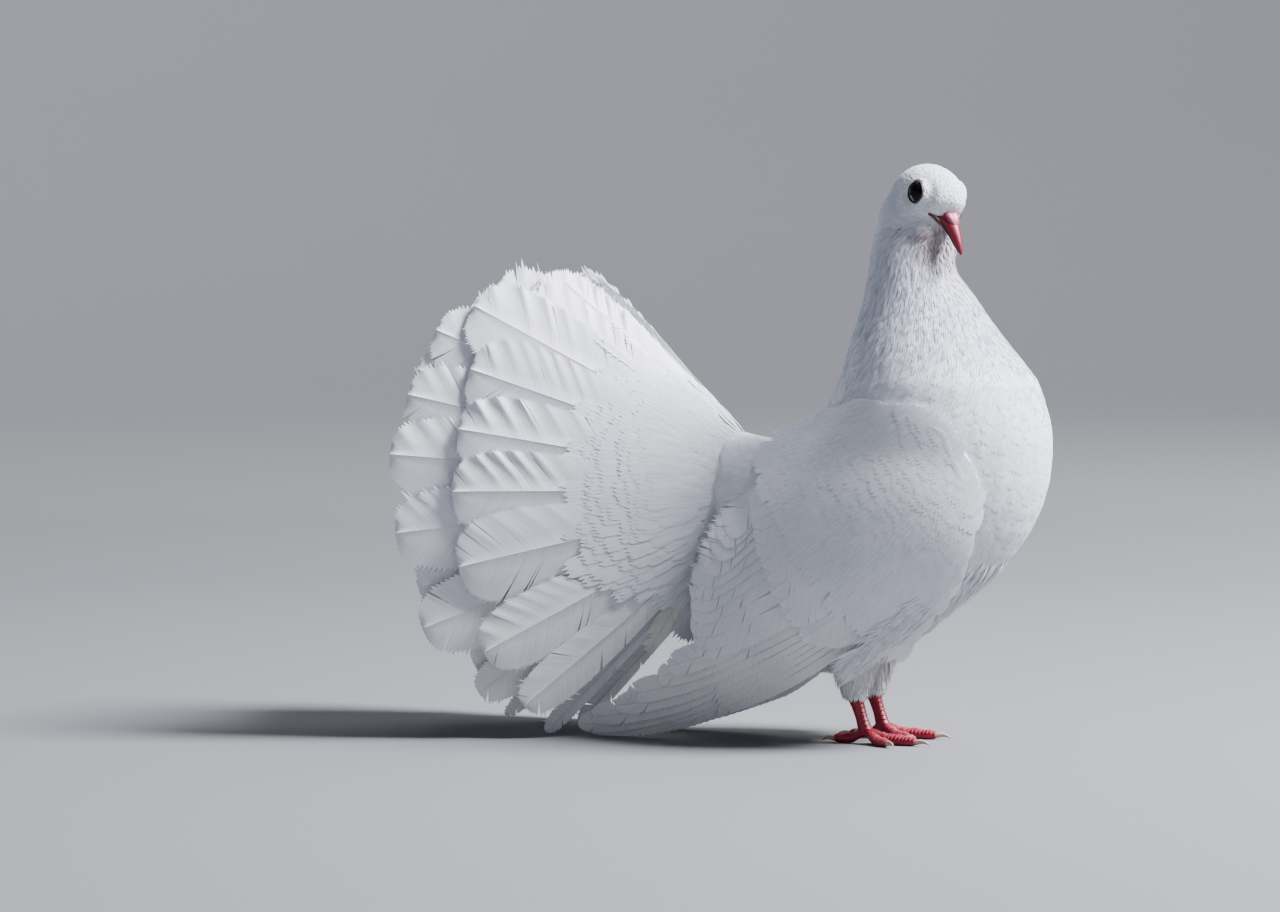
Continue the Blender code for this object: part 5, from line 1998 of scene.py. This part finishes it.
def scute_row(points, radii, top, reach, coat_points, coat_faces, marks):
    """Plates that overlap down a limb, each raised at its far edge."""
    for index in range(len(points) - 1):
        here, there = points[index], points[index + 1]
        way = unit(there - here)
        above = unit(top - way * (top @ way))
        across = np.cross(way, above)
        base = sum(len(group) for group in coat_points)
        group = []
        for share, lift in SCUTE_STATIONS:
            radius = radii[index] + (radii[index + 1]
                                     - radii[index]) * share
            for k in range(7):
                turn = math.radians(reach) * (k / 3.0 - 1.0)
                # The far edge is drawn back at its corners.
                round_off = 1.0
                if share > 0.5:
                    round_off -= 0.25 * (k / 3.0 - 1.0) ** 2 * share
                spot = here + (there - here) * share * round_off
                group.append(spot + (above * math.cos(turn)
                                     + across * math.sin(turn))
                             * (radius + lift))
                marks.append(0.55 if share > 0.9 else 0.0)
        group = np.array(group)
        inner = group - above * 0.5
        faces = []
        for i in range(3):
            for k in range(6):
                a = i * 7 + k
                faces.append((a, a + 1, a + 8, a + 7))
        closed = closed_faces(faces, len(group))
        marks += [0.0] * len(group)
        coat_points.append(np.concatenate([group, inner]))
        coat_faces.extend(tuple(v + base for v in face) for face in closed)


def make_foot(side):
    """Shank and toes as one skin, with scutes down the front and toes."""
    name = "foot_" + side
    item = bpy.data.objects.new("leg_" + side, NODES[name].data.copy())
    bpy.context.scene.collection.objects.link(item)
    pick(item)
    bpy.ops.object.mode_set(mode="EDIT")
    bpy.ops.mesh.select_all(action="SELECT")
    bpy.ops.mesh.remove_doubles(threshold=WELD)
    bpy.ops.object.mode_set(mode="OBJECT")
    apply_modifier(item, "REMESH", mode="VOXEL", voxel_size=LEG_VOXEL)
    apply_modifier(item, "SMOOTH", factor=0.5, iterations=8)
    item.data.materials.clear()
    item.data.materials.append(LEG)
    finish_piece(item, 80.0)
    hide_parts(name)
    points = []
    faces = []
    marks = []
    shank = np.array([SHANK_TOP + (ANKLE - SHANK_TOP) * share
                      for share in np.linspace(0.0, 0.95, 9)])
    shank[:, 1] *= SIDES[side]
    radii = np.interp(np.linspace(0.0, 1.0, 9), (0.0, 0.3, 0.65, 1.0),
                      (3.3, 2.75, 2.6, 3.1))
    scute_row(shank, radii, np.array((1.0, 0.0, 0.2)), 62.0, points, faces,
              marks)
    for toe in TOES:
        line, wide, _ = toe_line(side, toe)
        scute_row(line[3:], wide[3:], np.array((0.0, 0.0, 1.0)), 64.0,
                  points, faces, marks)
    scutes = piece("scutes_" + side, LEG, np.concatenate(points), faces)
    set_mark(scutes, marks)


def make_claws(side):
    """A curved claw at the end of each toe, darker towards its tip."""
    for toe in TOES:
        line, _, way = toe_line(side, toe)
        root = line[-1] + way * GAP
        rings = []
        marks = []
        across = np.cross(way, (0.0, 0.0, 1.0))
        for share, rise, radius in smooth_rows(CLAW_STATIONS, 14):
            centre = root + way * (toe[4] * share)
            centre = centre + np.array((0.0, 0.0, rise))
            rings.append(ellipse(centre, np.array((0.0, 0.0, 1.0)), across,
                                 radius, radius * 0.75, 14))
            marks += [float(fade(share, 0.3, 1.1)) * 0.6] * 14
        claw = loft("claw_horn_%s_%s" % (toe[0], side), rings, CLAW)
        set_mark(claw, marks)
        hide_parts("claw_%s_%s" % (toe[0], side))


for side in SIDES:
    make_foot(side)
    make_claws(side)

# Floor, lights and camera

# The floor's rings: radius and height in metres.
FLOOR_RINGS = ((0.5, 0.0), (1.0, 0.0), (1.5, 0.0), (2.2, 0.0), (2.8, 0.0),
               (3.4, 0.0), (3.9, 0.03), (4.4, 0.13), (4.9, 0.34), (5.3, 0.7),
               (5.6, 1.3), (5.7, 2.2))


def make_floor():
    """A round pale floor that sweeps up far out, so no edge is seen.

    Its finish grows paler outwards, where less light falls on it.
    """
    sides = 96
    points = [(0.0, 0.0, 0.0)]
    faces = [(0, 1 + k, 1 + (k + 1) % sides) for k in range(sides)]
    for ring, (radius, height) in enumerate(FLOOR_RINGS):
        for k in range(sides):
            angle = 2 * math.pi * k / sides
            points.append((radius * math.cos(angle),
                           radius * math.sin(angle), height))
            if ring:
                low = 1 + (ring - 1) * sides
                high = 1 + ring * sides
                after = (k + 1) % sides
                faces.append((low + k, high + k, high + after, low + after))
    mesh = bpy.data.meshes.new("studio_floor")
    mesh.from_pydata(points, [], faces)
    item = bpy.data.objects.new("studio_floor", mesh)
    bpy.context.scene.collection.objects.link(item)
    pick(item)
    bpy.ops.object.shade_smooth()
    radii = np.linalg.norm(np.array(points)[:, :2], axis=1)
    set_mark(item, fade(radii, 0.9, 4.6))
    return item


floor = make_floor()
floor_finish, floor_tree, floor_shader = new_material("pale_studio_floor",
                                                      0.9)
floor_tree.links.new(
    mixed(floor_tree, marking(floor_tree, "mark", "Fac"), "6E6F72",
          "E0E0E2"),
    floor_shader.inputs["Base Color"])
floor.data.materials.append(floor_finish)

world = bpy.data.worlds.new("studio")
bpy.context.scene.world = world
world.use_nodes = True
backdrop = world.node_tree.nodes["Background"]
backdrop.inputs["Color"].default_value = linear("CAD6EC")
backdrop.inputs["Strength"].default_value = 0.17

# The camera looks from ahead of the bird's right side, a little down.
TARGET = Vector(to_frame((-96.1, -35.0, 127.1)))
VIEW_AZIMUTH = math.radians(20.0)
VIEW_ELEVATION = math.radians(3.0)
VIEW_DISTANCE = 2.4
LENS = 151.9
SENSOR = 36.0
LIGHT_DISTANCE = 2.2


def way_from(azimuth, elevation):
    """The direction out to something seen at an azimuth and elevation."""
    return Vector((math.sin(azimuth) * math.cos(elevation),
                   -math.cos(azimuth) * math.cos(elevation),
                   math.sin(elevation)))


def studio_light(name, azimuth, elevation, size, watts, colour):
    """A square softbox that faces the target."""
    lamp = bpy.data.lights.new(name, "AREA")
    lamp.shape = "SQUARE"
    lamp.size = size
    lamp.energy = watts
    lamp.color = linear(colour)[:3]
    holder = bpy.data.objects.new(name, lamp)
    way = way_from(math.radians(azimuth), math.radians(elevation))
    holder.location = TARGET + way * LIGHT_DISTANCE
    holder.rotation_euler = way.to_track_quat("Z", "Y").to_euler()
    bpy.context.scene.collection.objects.link(holder)


studio_light("key_softbox", 101.0, 48.0, 0.8, 300.0, "F8F8FF")
studio_light("fill_softbox", -15.0, 60.0, 1.5, 2.0, "D4E0FA")
studio_light("rim_softbox", 165.0, 45.0, 1.2, 24.0, "FFFFFF")

camera_data = bpy.data.cameras.new("camera")
camera_data.lens = LENS
camera_data.sensor_width = SENSOR
camera = bpy.data.objects.new("camera", camera_data)
back = way_from(VIEW_AZIMUTH, VIEW_ELEVATION)
camera.location = TARGET + back * VIEW_DISTANCE
camera.rotation_euler = back.to_track_quat("Z", "Y").to_euler()
bpy.context.scene.collection.objects.link(camera)
bpy.context.scene.camera = camera
